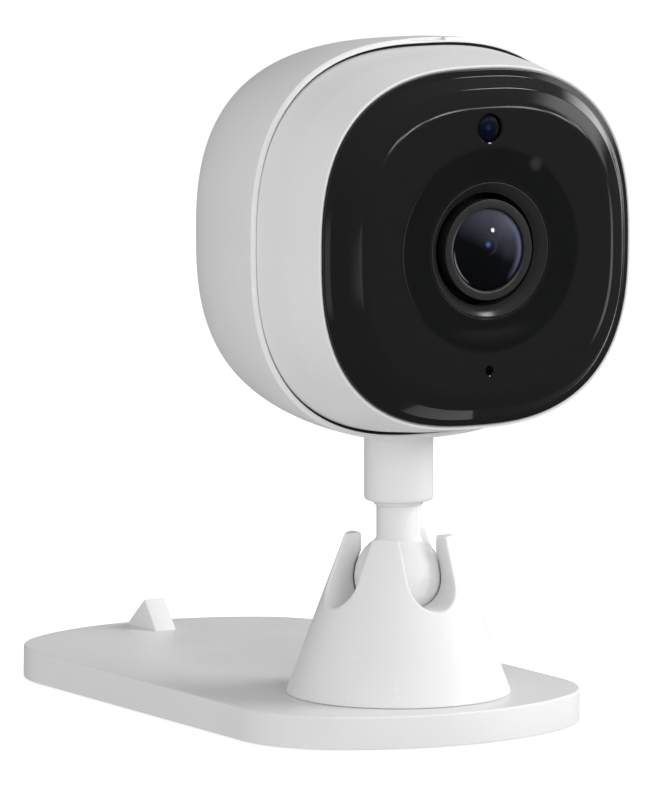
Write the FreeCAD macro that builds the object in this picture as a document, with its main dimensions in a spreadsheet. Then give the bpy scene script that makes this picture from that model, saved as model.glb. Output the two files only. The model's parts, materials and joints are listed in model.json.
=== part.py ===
import FreeCAD, Part
import math
import os
import re
import Sketcher
from FreeCAD import Rotation, Vector

# Indoor security camera on a low stand.
#
# The stand is a flat weighted base with a slotted cone near its front end. A ball stud sits in the
# cone's socket, and its post carries the camera head. The head is a rounded square shell, closed
# in front by a white ring and a stepped dark window around the lens.
#
# Frame: the origin is on the surface the pads stand on, under the ball's centre. The head looks
# along -Y, the base's long tail runs along +Y, and +Z is up. Millimetres throughout.

SIZES = [
    # base
    ("base_half_width", 31.6),
    ("base_front", 24.4),
    ("base_rear", 91.5),
    ("corner_radius", 19.5),
    ("tip_radius", 43.0),
    ("base_under", 0.3),
    ("base_top", 5.8),
    ("base_wall", 1.8),
    ("top_edge_round", 0.35),
    ("cover_thickness", 1.2),
    ("ballast_thickness", 2.2),
    ("fit_gap", 0.15),
    ("wedge_width", 4.2),
    ("wedge_near", 78.4),
    ("wedge_ridge", 83.3),
    ("wedge_far", 90.2),
    ("wedge_top", 11.0),
    ("pad_radius", 5.0),
    ("pad_thickness", 0.9),
    ("pad_across", 19.5),
    ("pad_front", -8.0),
    ("pad_rear", 75.5),
    ("base_screw_across", 20.0),
    ("base_screw_front", 4.0),
    ("base_screw_rear", 64.0),
    ("base_screw_head", 2.0),
    ("base_screw_shank", 1.0),
    ("boss_radius", 2.8),
    ("base_pilot", 1.05),
    ("base_pilot_depth", 3.4),
    ("ballast_boss_hole", 3.1),
    ("ballast_centre_hole", 15.0),
    ("cover_screw_hole", 2.1),
    # socket cone, ball and post
    ("cone_foot_radius", 19.0),
    ("cone_top_radius", 9.05),
    ("cone_top", 32.7),
    ("cone_ceiling", 14.0),
    ("cone_wall", 2.4),
    ("slot_width", 8.8),
    ("mouth_radius", 6.44),
    ("ball_height", 25.4),
    ("ball_radius", 7.45),
    ("socket_gap", 0.25),
    ("seat_radius", 5.0),
    ("seat_bottom", 16.6),
    ("seat_rim", 19.4),
    ("seat_gap", 0.05),
    ("cone_screw_circle", 10.5),
    ("cone_screw_hole", 1.5),
    ("cone_screw_head", 2.3),
    ("cone_screw_shank", 1.15),
    ("cone_pilot", 1.2),
    ("cone_slope", 0.37),
    ("post_radius", 3.75),
    ("post_top", 46.3),
    ("running_gap", 0.05),
    # collar of the head
    ("collar_radius", 5.83),
    ("collar_bottom", 38.4),
    ("collar_round", 1.8),
    ("lip_radius", 4.15),
    ("lip_bottom", 37.7),
    ("collar_floor", 46.5),
    ("collar_well", 48.5),
    ("well_radius", 4.7),
    ("collar_inside", 51.2),
    ("flare_bottom", 48.8),
    ("flare_radius", 7.3),
    # head shells: half sizes of the rounded square and places along Y
    ("lens_height", 83.24),
    ("square_power", 2.6),
    ("front_half", 30.1),
    ("front_face", -24.75),
    ("ring_half_width", 32.35),
    ("ring_half_height", 31.8),
    ("parting", -8.7),
    ("ring_rear", -4.2),
    ("ring_wall", 1.6),
    ("ring_bulge", 0.25),
    ("shell_half", 33.5),
    ("shell_back_half", 26.6),
    ("shell_back", 19.4),
    ("shell_wall", 1.8),
    ("rim_wall", 0.8),
    ("rim_depth", 5.1),
    ("notch_centre", 0.3),
    ("notch_width", 7.0),
    ("notch_length", 1.2),
    ("notch_depth", 0.45),
    # dark window
    ("window_half", 29.25),
    ("window_edge", -24.35),
    ("window_face", -29.05),
    ("plateau_half", 24.7),
    ("window_thickness", 1.8),
    ("first_step_in", 1.7),
    ("first_step_rise", 0.30),
    ("second_step_in", 2.9),
    ("second_step_rise", 0.75),
    ("flange_half", 26.2),
    ("gasket_thickness", 0.5),
    ("flange_thickness", 1.8),
    ("lens_hole", 11.35),
    ("sensor_offset", 20.1),
    ("sensor_hole", 2.35),
    ("microphone_offset", 20.0),
    ("microphone_hole", 0.75),
    # lens
    ("trim_outer", 11.25),
    ("trim_inner", 9.4),
    ("trim_flange", 12.6),
    ("disc_radius", 8.35),
    ("disc_face", -28.6),
    ("barrel_radius", 7.0),
    ("glass_radius", 6.7),
    ("glass_bulge", 1.45),
    ("glass_curve", 15.7),
    ("bore_radius", 5.0),
    ("barrel_rear", -15.0),
    # electronics
    ("board_front", -10.9),
    ("board_thickness", 1.2),
    ("board_half", 22.5),
    ("board_corner", 14.0),
    ("board_screw_hole", 1.15),
    ("led_board_front", -24.6),
    ("led_board_outer", 17.2),
    ("led_board_inner", 9.6),
    ("led_circle", 13.9),
    ("led_case", 2.8),
    ("led_lens", 1.1),
    ("housing_post", 20.3),
    ("back_post_radius", 2.2),
    ("screw_stem", 0.95),
    ("board_post_across", 19.0),
    ("board_post_rise", 8.0),
    ("io_board_drop", 20.0),
    ("usb_drop", 17.3),
    ("card_drop", 20.95),
    ("button_offset", 11.0),
    ("button_drop", 17.0),
    ("button_radius", 1.5),
    ("button_travel", 0.5),
    ("speaker_rise", 3.0),
    ("speaker_radius", 10.0),
    ("grille_hole", 0.7),
    ("grille_pitch", 2.6),
]
NAMES = {alias for alias, _ in SIZES}
ALONG_Y = Rotation(Vector(1, 0, 0), -90)  # turns a piece's own +Z to +Y

doc = FreeCAD.newDocument("security_camera")
sheet = doc.addObject("Spreadsheet::Sheet", "Sizes")
for row, (alias, number) in enumerate(SIZES, 1):
    sheet.set(f"A{row}", alias)
    sheet.set(f"B{row}", str(number))
    sheet.setAlias(f"B{row}", alias)
doc.recompute()
nodes = {}

# Places along Y that several pieces share, as expressions on the sheet.
BOARD_REAR = "board_front + board_thickness"
WINDOW_SEAT = "window_edge + window_thickness"
FLANGE_FRONT = f"{WINDOW_SEAT} + gasket_thickness"
HOUSING_SEAT = f"{FLANGE_FRONT} + flange_thickness"
BACK_INSIDE = "shell_back - shell_wall"


# Helpers ------------------------------------------------------------------------------------------
def size(alias):
    return float(sheet.get(alias))


def bound(text):
    """The expression with each driving size written as a reference into the sheet."""
    return re.sub(r"[a-z]\w*", lambda m: ("Sizes." if m[0] in NAMES else "") + m[0], text)


def place(piece, x="0", y="0", z="0"):
    for letter, text in zip("xyz", (x, y, z)):
        piece.setExpression(f"Placement.Base.{letter}", bound(text))
    return piece


def solid(kind, name, at=("0", "0", "0"), turn=None, **dims):
    """A Part primitive with every size and its place bound to the sheet."""
    piece = doc.addObject("Part::" + kind, name)
    for prop, text in dims.items():
        piece.setExpression(prop, bound(text))
    if turn:
        piece.Placement.Rotation = turn
    return place(piece, *at)


def disc(name, radius, start, end, x="0", z="lens_height"):
    """A cylinder along Y from start to end, centred on x and z."""
    return solid("Cylinder", name, (x, start, z), ALONG_Y, Radius=radius, Height=f"{end} - ({start})")


def block(name, wide, deep, high, x="0", y="0", z="0"):
    """A box centred on x, with its low y and low z corner at y and z."""
    return solid("Box", name, (f"{x} - ({wide}) / 2", y, z), Length=wide, Width=deep, Height=high)


def fuse(name, *pieces):
    joined = doc.addObject("Part::MultiFuse", name)
    joined.Shapes = list(pieces)
    return joined


def cut(name, base, *tools):
    result = doc.addObject("Part::Cut", name)
    result.Base = base
    result.Tool = tools[0] if len(tools) == 1 else fuse(name + "_tools", *tools)
    return result


def common(name, *pieces):
    shared = doc.addObject("Part::MultiCommon", name)
    shared.Shapes = list(pieces)
    return shared


def group(name, pieces):
    """Identical pieces that stay separate solids in one node."""
    together = doc.addObject("Part::Compound", name)
    together.Links = list(pieces)
    return together


def node(label, piece):
    piece.Label = label
    nodes[label] = piece
    return piece


def squircle(half_width, half_height, y, power):
    """Closed smooth rounded-square outline about the lens axis, |x/a|^p + |z/b|^p = 1."""
    points = []
    for step in range(40):
        turn = 2 * math.pi * step / 40
        across, up = math.cos(turn), math.sin(turn)
        reach = (abs(across) ** power + abs(up) ** power) ** (-1 / power)
        points.append(
            Vector(half_width * reach * across, y, size("lens_height") + half_height * reach * up)
        )
    curve = Part.BSplineCurve()
    curve.interpolate(points, PeriodicFlag=True)
    return Part.Wire([curve.toShape()])


def rounded_loft(name, sections, smooth=False):
    """A solid through rounded-square sections, each (half width, half height, y)."""
    power = size("square_power")
    wires = [squircle(wide, high, y, power) for wide, high, y in sections]
    piece = doc.addObject("Part::Feature", name)
    piece.Shape = Part.makeLoft(wires, True, not smooth)
    return piece


def origin_plane(body, role):
    return next(plane for plane in body.Origin.OriginFeatures if plane.Role == role)


def sketch(body, name, role="XY_Plane", height="0"):
    drawn = body.newObject("Sketcher::SketchObject", name)
    drawn.AttachmentSupport = (origin_plane(body, role), [""])
    drawn.MapMode = "FlatFace"
    drawn.setExpression("AttachmentOffset.Base.z", bound(height))
    return drawn


def constrain(drawn, expression, *details):
    """A dimension of the sketch, bound to the sheet."""
    index = drawn.addConstraint(Sketcher.Constraint(*details))
    drawn.setExpression(f"Constraints[{index}]", bound(expression))


def add_circles(drawn, circles):
    """Circles given as (x, y, radius) expressions; the places are never on an axis unless '0'."""
    for x, y, radius in circles:
        index = drawn.addGeometry(Part.Circle(Vector(1, 1, 0), Vector(0, 0, 1), 1.0))
        for kind, axis, text in (("DistanceX", -2, x), ("DistanceY", -1, y)):
            if text == "0":
                drawn.addConstraint(Sketcher.Constraint("PointOnObject", index, 3, axis))
            else:
                constrain(drawn, text, kind, -1, 1, index, 3, 1.0)
        constrain(drawn, radius, "Radius", index, 1.0)


def pad(body, name, drawn, length):
    raised = body.newObject("PartDesign::Pad", name)
    raised.Profile = drawn
    raised.setExpression("Length", bound(length))
    return raised


def pocket(body, name, drawn, length):
    """Cuts from the sketch towards +Z, the side the sketch's normal points to."""
    doc.recompute()
    before = body.Shape.Volume
    sunk = body.newObject("PartDesign::Pocket", name)
    sunk.Profile = drawn
    sunk.Reversed = True
    sunk.setExpression("Length", bound(length))
    doc.recompute()
    if not body.Shape.Volume < before:
        raise RuntimeError(f"{name} removed nothing")
    return sunk


def add_outline(drawn, inset=()):
    """The base's outline, moved in by the sizes named in inset.

    Straight sides run into corner arcs, which run into one wide arc at each end.
    """
    margin = sum(size(alias) for alias in inset)
    less = "".join(" - " + alias for alias in inset)
    centre_x = size("base_half_width") - size("corner_radius")
    reach = math.sqrt((size("tip_radius") - size("corner_radius")) ** 2 - centre_x**2)
    corner = size("corner_radius") - margin
    tip = size("tip_radius") - margin
    side = size("base_half_width") - margin
    rear = size("base_rear") - size("tip_radius") + reach
    front = -size("base_front") + size("tip_radius") - reach
    lean = math.atan2(reach, centre_x)

    def arc(x, y, radius, start, end):
        return Part.ArcOfCircle(Part.Circle(Vector(x, y, 0), Vector(0, 0, 1), radius), start, end)

    half_turn = math.pi
    drawn.addGeometry(
        [
            Part.LineSegment(Vector(side, front, 0), Vector(side, rear, 0)),
            arc(centre_x, rear, corner, 0, lean),
            arc(0, rear - reach, tip, lean, half_turn - lean),
            arc(-centre_x, rear, corner, half_turn - lean, half_turn),
            Part.LineSegment(Vector(-side, rear, 0), Vector(-side, front, 0)),
            arc(-centre_x, front, corner, half_turn, half_turn + lean),
            arc(0, front + reach, tip, half_turn + lean, 2 * half_turn - lean),
            arc(centre_x, front, corner, 2 * half_turn - lean, 2 * half_turn),
        ]
    )
    for index in range(8):
        drawn.addConstraint(Sketcher.Constraint("Tangent", index, 2, (index + 1) % 8, 1))
    for index in (3, 5, 7):
        drawn.addConstraint(Sketcher.Constraint("Equal", 1, index))
    drawn.addConstraint(Sketcher.Constraint("Equal", 2, 6))
    constrain(drawn, "corner_radius" + less, "Radius", 1, corner)
    constrain(drawn, "tip_radius" + less, "Radius", 2, tip)
    across = "base_half_width - corner_radius"
    along = f"tip_radius - sqrt((tip_radius - corner_radius)^2 - ({across})^2)"
    rear_text = f"base_rear - ({along})"
    front_text = f"-(base_front - ({along}))"
    corner_places = (
        (1, 1, rear, rear_text),
        (3, -1, rear, rear_text),
        (5, -1, front, front_text),
        (7, 1, front, front_text),
    )
    for index, sign, y, y_text in corner_places:
        constrain(drawn, f"{sign} * ({across})", "DistanceX", -1, 1, index, 3, sign * centre_x)
        constrain(drawn, y_text, "DistanceY", -1, 1, index, 3, y)


def mirrored(x, y_values):
    """The four places at +x and -x for each of two y expressions."""
    return [(sign + x, y) for y in y_values for sign in ("", "-")]


def base_screw_spots():
    return mirrored("base_screw_across", ("base_screw_front", "base_screw_rear"))


# Stand --------------------------------------------------------------------------------------------
def make_base_plate():
    """Moulded tray, open below, with the rest wedge on its top and screw bosses inside."""
    body = doc.addObject("PartDesign::Body", "base_plate")
    outline = sketch(body, "base_outline", height="base_under")
    add_outline(outline)
    pad(body, "base_block", outline, "base_top - base_under")
    doc.recompute()
    top = size("base_top")
    rounding = body.newObject("PartDesign::Fillet", "base_top_edge")
    rim = [
        f"Edge{number}"
        for number, edge in enumerate(body.Shape.Edges, 1)
        if edge.BoundBox.ZMin > top - 0.01
    ]
    rounding.Base = (body.getObject("base_block"), rim)
    rounding.setExpression("Radius", bound("top_edge_round"))
    hollow = sketch(body, "base_hollow", height="base_under")
    add_outline(hollow, ("base_wall",))
    pocket(body, "base_cavity", hollow, "base_top - base_wall - base_under")
    bosses = sketch(body, "boss_outline", height="base_under + cover_thickness")
    add_circles(bosses, [(x, y, "boss_radius") for x, y in base_screw_spots()])
    pad(body, "bosses", bosses, "base_top - base_wall - base_under - cover_thickness")
    pilots = sketch(body, "pilot_outline", height="base_under + cover_thickness")
    add_circles(pilots, [(x, y, "base_pilot") for x, y in base_screw_spots()])
    pocket(body, "pilots", pilots, "base_pilot_depth")
    holes = sketch(body, "cone_screw_outline", height="base_under")
    add_circles(holes, [(x, y, "cone_screw_hole") for x, y in cone_screw_spots()])
    pocket(body, "cone_screw_holes", holes, "base_top")
    wedge = sketch(body, "wedge_side", role="YZ_Plane", height="-wedge_width / 2")
    add_wedge(wedge)
    pad(body, "rest_wedge", wedge, "wedge_width")
    node("base_plate", body)


def add_wedge(drawn):
    """Triangle in the YZ plane: a steep face towards the cone and a long slope to the rear."""
    near, ridge, far = (size(alias) for alias in ("wedge_near", "wedge_ridge", "wedge_far"))
    low, high = size("base_top") - 1, size("wedge_top")
    corners = [Vector(near, low, 0), Vector(far, low, 0), Vector(ridge, high, 0)]
    names = [
        ("wedge_near", "base_top - 1"),
        ("wedge_far", "base_top - 1"),
        ("wedge_ridge", "wedge_top"),
    ]
    for index in range(3):
        drawn.addGeometry(Part.LineSegment(corners[index], corners[(index + 1) % 3]))
    for index in range(3):
        drawn.addConstraint(Sketcher.Constraint("Coincident", index, 2, (index + 1) % 3, 1))
    for index, (along, up) in enumerate(names):
        constrain(drawn, along, "DistanceX", -1, 1, index, 1, corners[index].x)
        constrain(drawn, up, "DistanceY", -1, 1, index, 1, corners[index].y)


def cone_screw_spots():
    """Three places on the cone's screw circle, one of them straight behind the ball."""
    circle = "cone_screw_circle"
    across = f"{circle} * sqrt(3) / 2"
    return [("0", circle), (across, f"-{circle} / 2"), (f"-{across}", f"-{circle} / 2")]


def make_ballast_plate():
    body = doc.addObject("PartDesign::Body", "ballast_plate")
    outline = sketch(body, "ballast_outline", height="base_under + cover_thickness + 0.05")
    add_outline(outline, ("base_wall", "fit_gap", "fit_gap"))
    add_circles(outline, [(x, y, "ballast_boss_hole") for x, y in base_screw_spots()])
    add_circles(outline, [("0", "0", "ballast_centre_hole")])
    pad(body, "ballast", outline, "ballast_thickness")
    node("ballast_plate", body)


def make_bottom_cover():
    """Flat cover let into the underside, with its screw holes and pad recesses."""
    body = doc.addObject("PartDesign::Body", "base_bottom_cover")
    outline = sketch(body, "cover_outline", height="base_under")
    add_outline(outline, ("base_wall", "fit_gap"))
    add_circles(outline, [(x, y, "cover_screw_hole") for x, y in base_screw_spots()])
    pad(body, "cover", outline, "cover_thickness")
    recess = sketch(body, "pad_recess_outline", height="base_under")
    add_circles(recess, [(x, y, "pad_radius + 0.1") for x, y in pad_spots()])
    pocket(body, "pad_recesses", recess, "pad_thickness - base_under")
    node("base_bottom_cover", body)


def pad_spots():
    """One pad near each corner, and one under the ball."""
    return mirrored("pad_across", ("pad_front", "pad_rear")) + [("0", "0")]


def make_foot_pads():
    pads = [
        solid("Cylinder", f"pad_{index}", (x, y, "0"), Radius="pad_radius", Height="pad_thickness")
        for index, (x, y) in enumerate(pad_spots())
    ]
    node("foot_pads", group("pads", pads))


def screw_upward(name, spot, seat, head, shank, drive, drive_depth):
    """Screw driven towards +Z; head and shank are (radius, length), and seat is under the head."""
    x, y = spot
    head_radius, head_length = head
    shank_radius, shank_length = shank
    start = f"{seat} - {head_length}"
    top = solid("Cylinder", name + "_head", (x, y, start), Radius=head_radius, Height=head_length)
    stem = solid("Cylinder", name + "_shank", (x, y, f"{seat} - 0.1"), Radius=shank_radius,
                 Height=shank_length)
    socket = solid("Prism", name + "_drive", (x, y, f"{start} - 0.1"), Circumradius=drive,
                   Height=drive_depth)
    return cut(name, fuse(name + "_blank", top, stem), socket)


def make_base_screws():
    """Self-tapping screws that hold the bottom cover; the pan heads are let into it."""
    screws = [
        screw_upward(f"base_screw_{index}", spot, "base_under + 1.2", ("base_screw_head", "1.1"),
                     ("base_screw_shank", "3.5"), "0.8", "0.7")
        for index, spot in enumerate(base_screw_spots())
    ]
    node("base_screws", group("base_screw_set", screws))


def slot_cuts(name, turn, ends, box_at, box_size):
    """A slot through the cone: a round bottom about the ball's centre, open above."""
    bottom = solid("Cylinder", f"slot_round_{name}", (*ends, "ball_height"), turn,
                   Radius="slot_width / 2", Height="40")
    length, width = box_size
    opening = solid("Box", f"slot_box_{name}", (*box_at, "ball_height"), Length=length,
                    Width=width, Height="20")
    return [bottom, opening]


def make_socket_cone():
    """Slotted cone: four fingers around the ball, and a hollow foot with three screw bosses."""
    outer = solid("Cone", "cone_body", ("0", "0", "base_top"), Radius1="cone_foot_radius",
                  Radius2="cone_top_radius", Height="cone_top - base_top")
    socket = solid("Sphere", "cone_socket", ("0", "0", "ball_height"),
                   Radius="ball_radius + socket_gap")
    mouth = solid("Cylinder", "cone_mouth", ("0", "0", "ball_height"), Radius="mouth_radius",
                  Height="20")
    seat = solid("Cylinder", "seat_pocket", ("0", "0", "seat_bottom - seat_gap"),
                 Radius="seat_radius + seat_gap", Height="5")
    foot = solid("Cone", "cone_hollow", ("0", "0", "base_top - 1"),
                 Radius1="cone_foot_radius - cone_wall + cone_slope",
                 Radius2="cone_foot_radius - cone_wall - (cone_ceiling - base_top) * cone_slope",
                 Height="cone_ceiling - base_top + 1")
    across = slot_cuts("across", Rotation(Vector(0, 1, 0), 90), ("-20", "0"),
                       ("-20", "-slot_width / 2"), ("40", "slot_width"))
    along = slot_cuts("along", ALONG_Y, ("0", "-20"), ("-slot_width / 2", "-20"),
                      ("slot_width", "40"))
    fingers = cut("cone_fingers", outer, socket, mouth, seat, *across, *along)
    shell = cut("cone_shell", fingers, foot)
    bosses = []
    pilots = []
    for index, (x, y) in enumerate(cone_screw_spots()):
        bosses.append(solid("Cylinder", f"cone_boss_{index}", (x, y, "base_top"),
                            Radius="boss_radius", Height="cone_ceiling - base_top + 0.5"))
        pilots.append(solid("Cylinder", f"cone_pilot_{index}", (x, y, "base_top - 1"),
                            Radius="cone_pilot", Height="7.5"))
    node("socket_cone", cut("cone_drilled", fuse("cone_with_bosses", shell, *bosses), *pilots))


def make_cone_screws():
    screws = [
        screw_upward(f"cone_screw_{index}", spot, "base_top - base_wall", ("cone_screw_head", "1.5"),
                     ("cone_screw_shank", "7.4"), "0.9", "0.9")
        for index, spot in enumerate(cone_screw_spots())
    ]
    node("cone_screws", group("cone_screw_set", screws))


def make_ball_seat():
    """Soft friction cup that the ball rides on, free to turn in its pocket."""
    ring = solid("Cylinder", "seat_ring", ("0", "0", "seat_bottom"), Radius="seat_radius",
                 Height="seat_rim - seat_bottom")
    cup = solid("Sphere", "seat_cup", ("0", "0", "ball_height"), Radius="ball_radius + seat_gap")
    centre = solid("Cylinder", "seat_centre", ("0", "0", "seat_bottom - 1"), Radius="1.5", Height="5")
    node("ball_seat", cut("seat", ring, cup, centre))


def make_ball_stud():
    """Ball and post in one moulding, with a pilot hole down the post for the stud screw."""
    ball = solid("Sphere", "ball", ("0", "0", "ball_height"), Radius="ball_radius")
    post = solid("Cylinder", "post", ("0", "0", "ball_height"), Radius="post_radius",
                 Height="post_top - ball_height")
    pilot = solid("Cylinder", "post_pilot", ("0", "0", "post_top - 12"), Radius="1.3", Height="14")
    node("ball_stud", cut("stud", fuse("stud_blank", ball, post), pilot))


def make_stud_screw():
    """Shoulder screw from inside the head into the post, over a spring washer."""
    seat = "collar_well + 0.65"
    head = solid("Cylinder", "stud_screw_head", ("0", "0", seat), Radius="3.4", Height="1.9")
    shank = solid("Cylinder", "stud_screw_shank", ("0", "0", "post_top - 9"), Radius="1.25",
                  Height=f"{seat} - post_top + 9.5")
    drive = solid("Prism", "stud_screw_drive", ("0", "0", f"{seat} + 0.9"), Circumradius="1.3",
                  Height="3")
    node("stud_screw", cut("stud_screw_solid", fuse("stud_screw_blank", head, shank), drive))
    outside = solid("Cylinder", "washer_outside", ("0", "0", "collar_well + 0.05"), Radius="4.2",
                    Height="0.55")
    inside = solid("Cylinder", "washer_inside", ("0", "0", "collar_well - 1"), Radius="1.4", Height="3")
    node("stud_washer", cut("washer", outside, inside))


# Head shells --------------------------------------------------------------------------------------
def shell_sections(inset):
    """Quarter-ellipse fall of the half size from the parting plane to the back, moved in by inset."""
    half, back_half = size("shell_half") - inset, size("shell_back_half") - inset
    depth = size("shell_back") - inset - size("parting")
    sections = []
    for step in range(9):
        part = math.sin(math.pi / 2 * step / 8)
        reach = back_half + (half - back_half) * math.sqrt(1 - part * part)
        sections.append((reach, reach, size("parting") + depth * part))
    return sections


def back_posts():
    """Long posts inside the rear shell, as (x, z, front end)."""
    posts = []
    for side in ("", "-"):
        for up in ("+", "-"):
            posts.append((side + "housing_post", f"lens_height {up} housing_post", HOUSING_SEAT))
            posts.append((side + "board_post_across", f"lens_height {up} board_post_rise", BOARD_REAR))
    return posts


def posts_for(seat):
    return [post for post in back_posts() if post[2] == seat]


def make_collar():
    """Collar with a rounded foot, the lip below it and the flare that meets the shell."""
    collar = solid("Cylinder", "collar", ("0", "0", "collar_bottom"), Radius="collar_radius",
                   Height="collar_inside - collar_bottom")
    doc.recompute()
    bottom = size("collar_bottom") + 0.01
    edges = enumerate(collar.Shape.Edges, 1)
    lower = next(number for number, edge in edges if edge.BoundBox.ZMax < bottom)
    rounded = doc.addObject("Part::Fillet", "collar_rounded")
    rounded.Base = collar
    rounded.Edges = [(lower, size("collar_round"), size("collar_round"))]
    flare = solid("Cone", "collar_flare", ("0", "0", "flare_bottom"), Radius1="collar_radius",
                  Radius2="flare_radius", Height="collar_inside - flare_bottom")
    lip = solid("Cylinder", "collar_lip", ("0", "0", "lip_bottom"), Radius="lip_radius", Height="3")
    return [rounded, flare, lip]


def collar_bores():
    """Bore for the post, the screw's hole above it and the well for its head."""
    return [
        solid("Cylinder", "collar_bore", ("0", "0", "lip_bottom - 1"),
              Radius="post_radius + running_gap", Height="collar_floor - lip_bottom + 1"),
        solid("Cylinder", "collar_screw_hole", ("0", "0", "collar_floor - 1"), Radius="1.45",
              Height="4"),
        solid("Cylinder", "collar_well_bore", ("0", "0", "collar_well"), Radius="well_radius",
              Height="6"),
    ]


def shell_openings():
    """Power, card and button openings in the back, and the notch in the rim."""
    return [
        block("usb_opening", "9.6", "8", "3.8", y="15", z="lens_height - usb_drop - 1.9"),
        block("card_opening", "12.6", "8", "1.7", y="15", z="lens_height - card_drop - 0.85"),
        block("rim_notch", "notch_width", "notch_length + 1", "3", x="notch_centre",
              y="parting - 1", z="lens_height + shell_half - notch_depth"),
        disc("button_opening", "button_radius + 0.1", "15", "22", "button_offset",
             "lens_height - button_drop"),
    ]


def make_rear_shell():
    """Cup-shaped shell with the collar below, the posts inside and the openings in its back."""
    outer = rounded_loft("shell_outside", shell_sections(0), True)
    inner = rounded_loft("shell_inside", shell_sections(size("shell_wall")), True)
    half = size("shell_half") - size("rim_wall")
    parting = size("parting")
    rim_end = parting + size("rim_depth")
    rim = rounded_loft("shell_rim", [(half, half, parting - 1), (half - 0.15, half - 0.15, rim_end)])
    speaker_z = "lens_height + speaker_rise"
    speaker_wall = cut(
        "speaker_wall",
        disc("speaker_wall_out", "speaker_radius + 1.2", "13", f"{BACK_INSIDE} + 0.5", z=speaker_z),
        disc("speaker_wall_in", "speaker_radius + 0.15", "12", "19", z=speaker_z),
    )
    rear_posts = []
    front_posts = []
    pilots = []
    for index, (x, z, front) in enumerate(back_posts()):
        radius = "back_post_radius"
        rear_posts.append(disc(f"post_{index}", radius, front, f"{BACK_INSIDE} + 0.4", x, z))
        front_posts.append(disc(f"post_front_{index}", radius, front, "parting + 1", x, z))
        pilots.append(disc(f"post_pilot_{index}", "1.0", f"{front} - 1", f"{front} + 9", x, z))
    limit = rounded_loft("post_limit", shell_sections(0.5), True)
    kept = common("posts_inside", fuse("all_posts", *rear_posts), limit)
    hollow = cut("shell_hollow", outer, inner, rim)
    blank = fuse("shell_blank", hollow, *make_collar(), speaker_wall, kept,
                 fuse("long_posts", *front_posts))
    openings = [*collar_bores(), *shell_openings(), *pilots, *grille_holes()]
    node("rear_shell", cut("shell", blank, *openings))


def grille_holes():
    """Sound holes in a hexagonal field over the speaker."""
    holes = []
    reach = size("speaker_radius") - 2.2
    pitch = size("grille_pitch")
    for row in range(-3, 4):
        for column in range(-4, 5):
            along = column + (row % 2) / 2
            rise = row * math.sqrt(3) / 2
            if math.hypot(along, rise) * pitch < reach:
                x = f"grille_pitch * {along}"
                z = f"lens_height + speaker_rise + grille_pitch * {rise:.4f}"
                holes.append(disc(f"grille_{len(holes)}", "grille_hole", "16", "21", x, z))
    return holes


def make_front_ring():
    """White ring behind the window: a tapering band with an inner flange and four screw lugs."""
    front, half = size("front_face"), size("front_half")
    wide, high = size("ring_half_width"), size("ring_half_height")
    parting, rear, wall = size("parting"), size("ring_rear"), size("ring_wall")
    bulge = size("ring_bulge")
    band = rounded_loft("ring_outside", [
        (half, half, front),
        ((half + wide) / 2 + bulge, (half + high) / 2 + bulge, (front + parting) / 2),
        (wide, high, parting),
        (wide, high, rear),
    ])
    seat = size("window_half") + 0.2
    flange_front = size("window_edge") + size("window_thickness") + size("gasket_thickness")
    opening = rounded_loft("ring_opening", [(seat, seat, front - 1), (seat, seat, flange_front)])
    inner = size("flange_half")
    flange = rounded_loft("ring_flange", [(inner, inner, front - 1), (inner, inner, rear + 1)])
    inside = rounded_loft("ring_inside", [
        (half - wall + 0.4, half - wall + 0.4, flange_front + size("flange_thickness")),
        (wide - wall, high - wall, parting),
        (wide - wall, high - wall, rear + 1),
    ])
    lugs = []
    holes = []
    for index, (x, z, seat_y) in enumerate(posts_for(HOUSING_SEAT)):
        lugs.append(disc(f"lug_{index}", "2.9", FLANGE_FRONT, seat_y, x, z))
        holes.append(disc(f"lug_hole_{index}", "1.2", f"{FLANGE_FRONT} - 1", f"{seat_y} + 1", x, z))
    ring = cut("ring_band", band, opening, flange, inside)
    node("front_ring", cut("ring", fuse("ring_with_lugs", ring, *lugs), *holes))


def make_front_window():
    """Dark window: a rim, two steps and a raised flat, pierced for lens, sensor and microphone."""
    half, edge = size("window_half"), size("window_edge")
    plateau, face, wall = size("plateau_half"), size("window_face"), size("window_thickness")
    rise = edge - face
    first, second = half - size("first_step_in"), half - size("second_step_in")
    outside = rounded_loft("window_outside", [
        (half, half, edge + wall),
        (half, half, edge),
        (first, first, edge - size("first_step_rise") * rise),
        (second, second, edge - size("second_step_rise") * rise),
        (plateau, plateau, face),
    ])
    inside = rounded_loft("window_inside", [
        (half - 3.6, half - 3.6, edge + wall + 1),
        (half - 3.6, half - 3.6, edge + 0.6),
        (plateau - 1.4, plateau - 1.4, face + wall),
    ])
    start, end = "window_face - 1", "window_face + 4"
    holes = [
        disc("window_lens_hole", "lens_hole", start, end),
        disc("window_sensor_hole", "sensor_hole", start, end, z="lens_height + sensor_offset"),
        disc("window_microphone_hole", "microphone_hole", start, end,
             z="lens_height - microphone_offset"),
    ]
    for index, (x, z, _) in enumerate(posts_for(HOUSING_SEAT)):
        holes.append(disc(f"window_relief_{index}", "2.3", "window_edge + 0.9",
                          f"{FLANGE_FRONT} + 1", x, z))
    node("front_window", cut("window", outside, inside, *holes))


def make_window_gasket():
    outer, inner = size("window_half") - 0.3, size("window_half") - 2.8
    start = size("window_edge") + size("window_thickness")
    end = start + size("gasket_thickness")
    tape = rounded_loft("gasket_outside", [(outer, outer, start), (outer, outer, end)])
    middle = rounded_loft("gasket_inside", [(inner, inner, start - 1), (inner, inner, end + 1)])
    holes = [disc(f"gasket_hole_{index}", "2.3", f"{WINDOW_SEAT} - 1", f"{FLANGE_FRONT} + 1", x, z)
             for index, (x, z, _) in enumerate(posts_for(HOUSING_SEAT))]
    node("window_gasket", cut("gasket", tape, middle, *holes))


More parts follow.
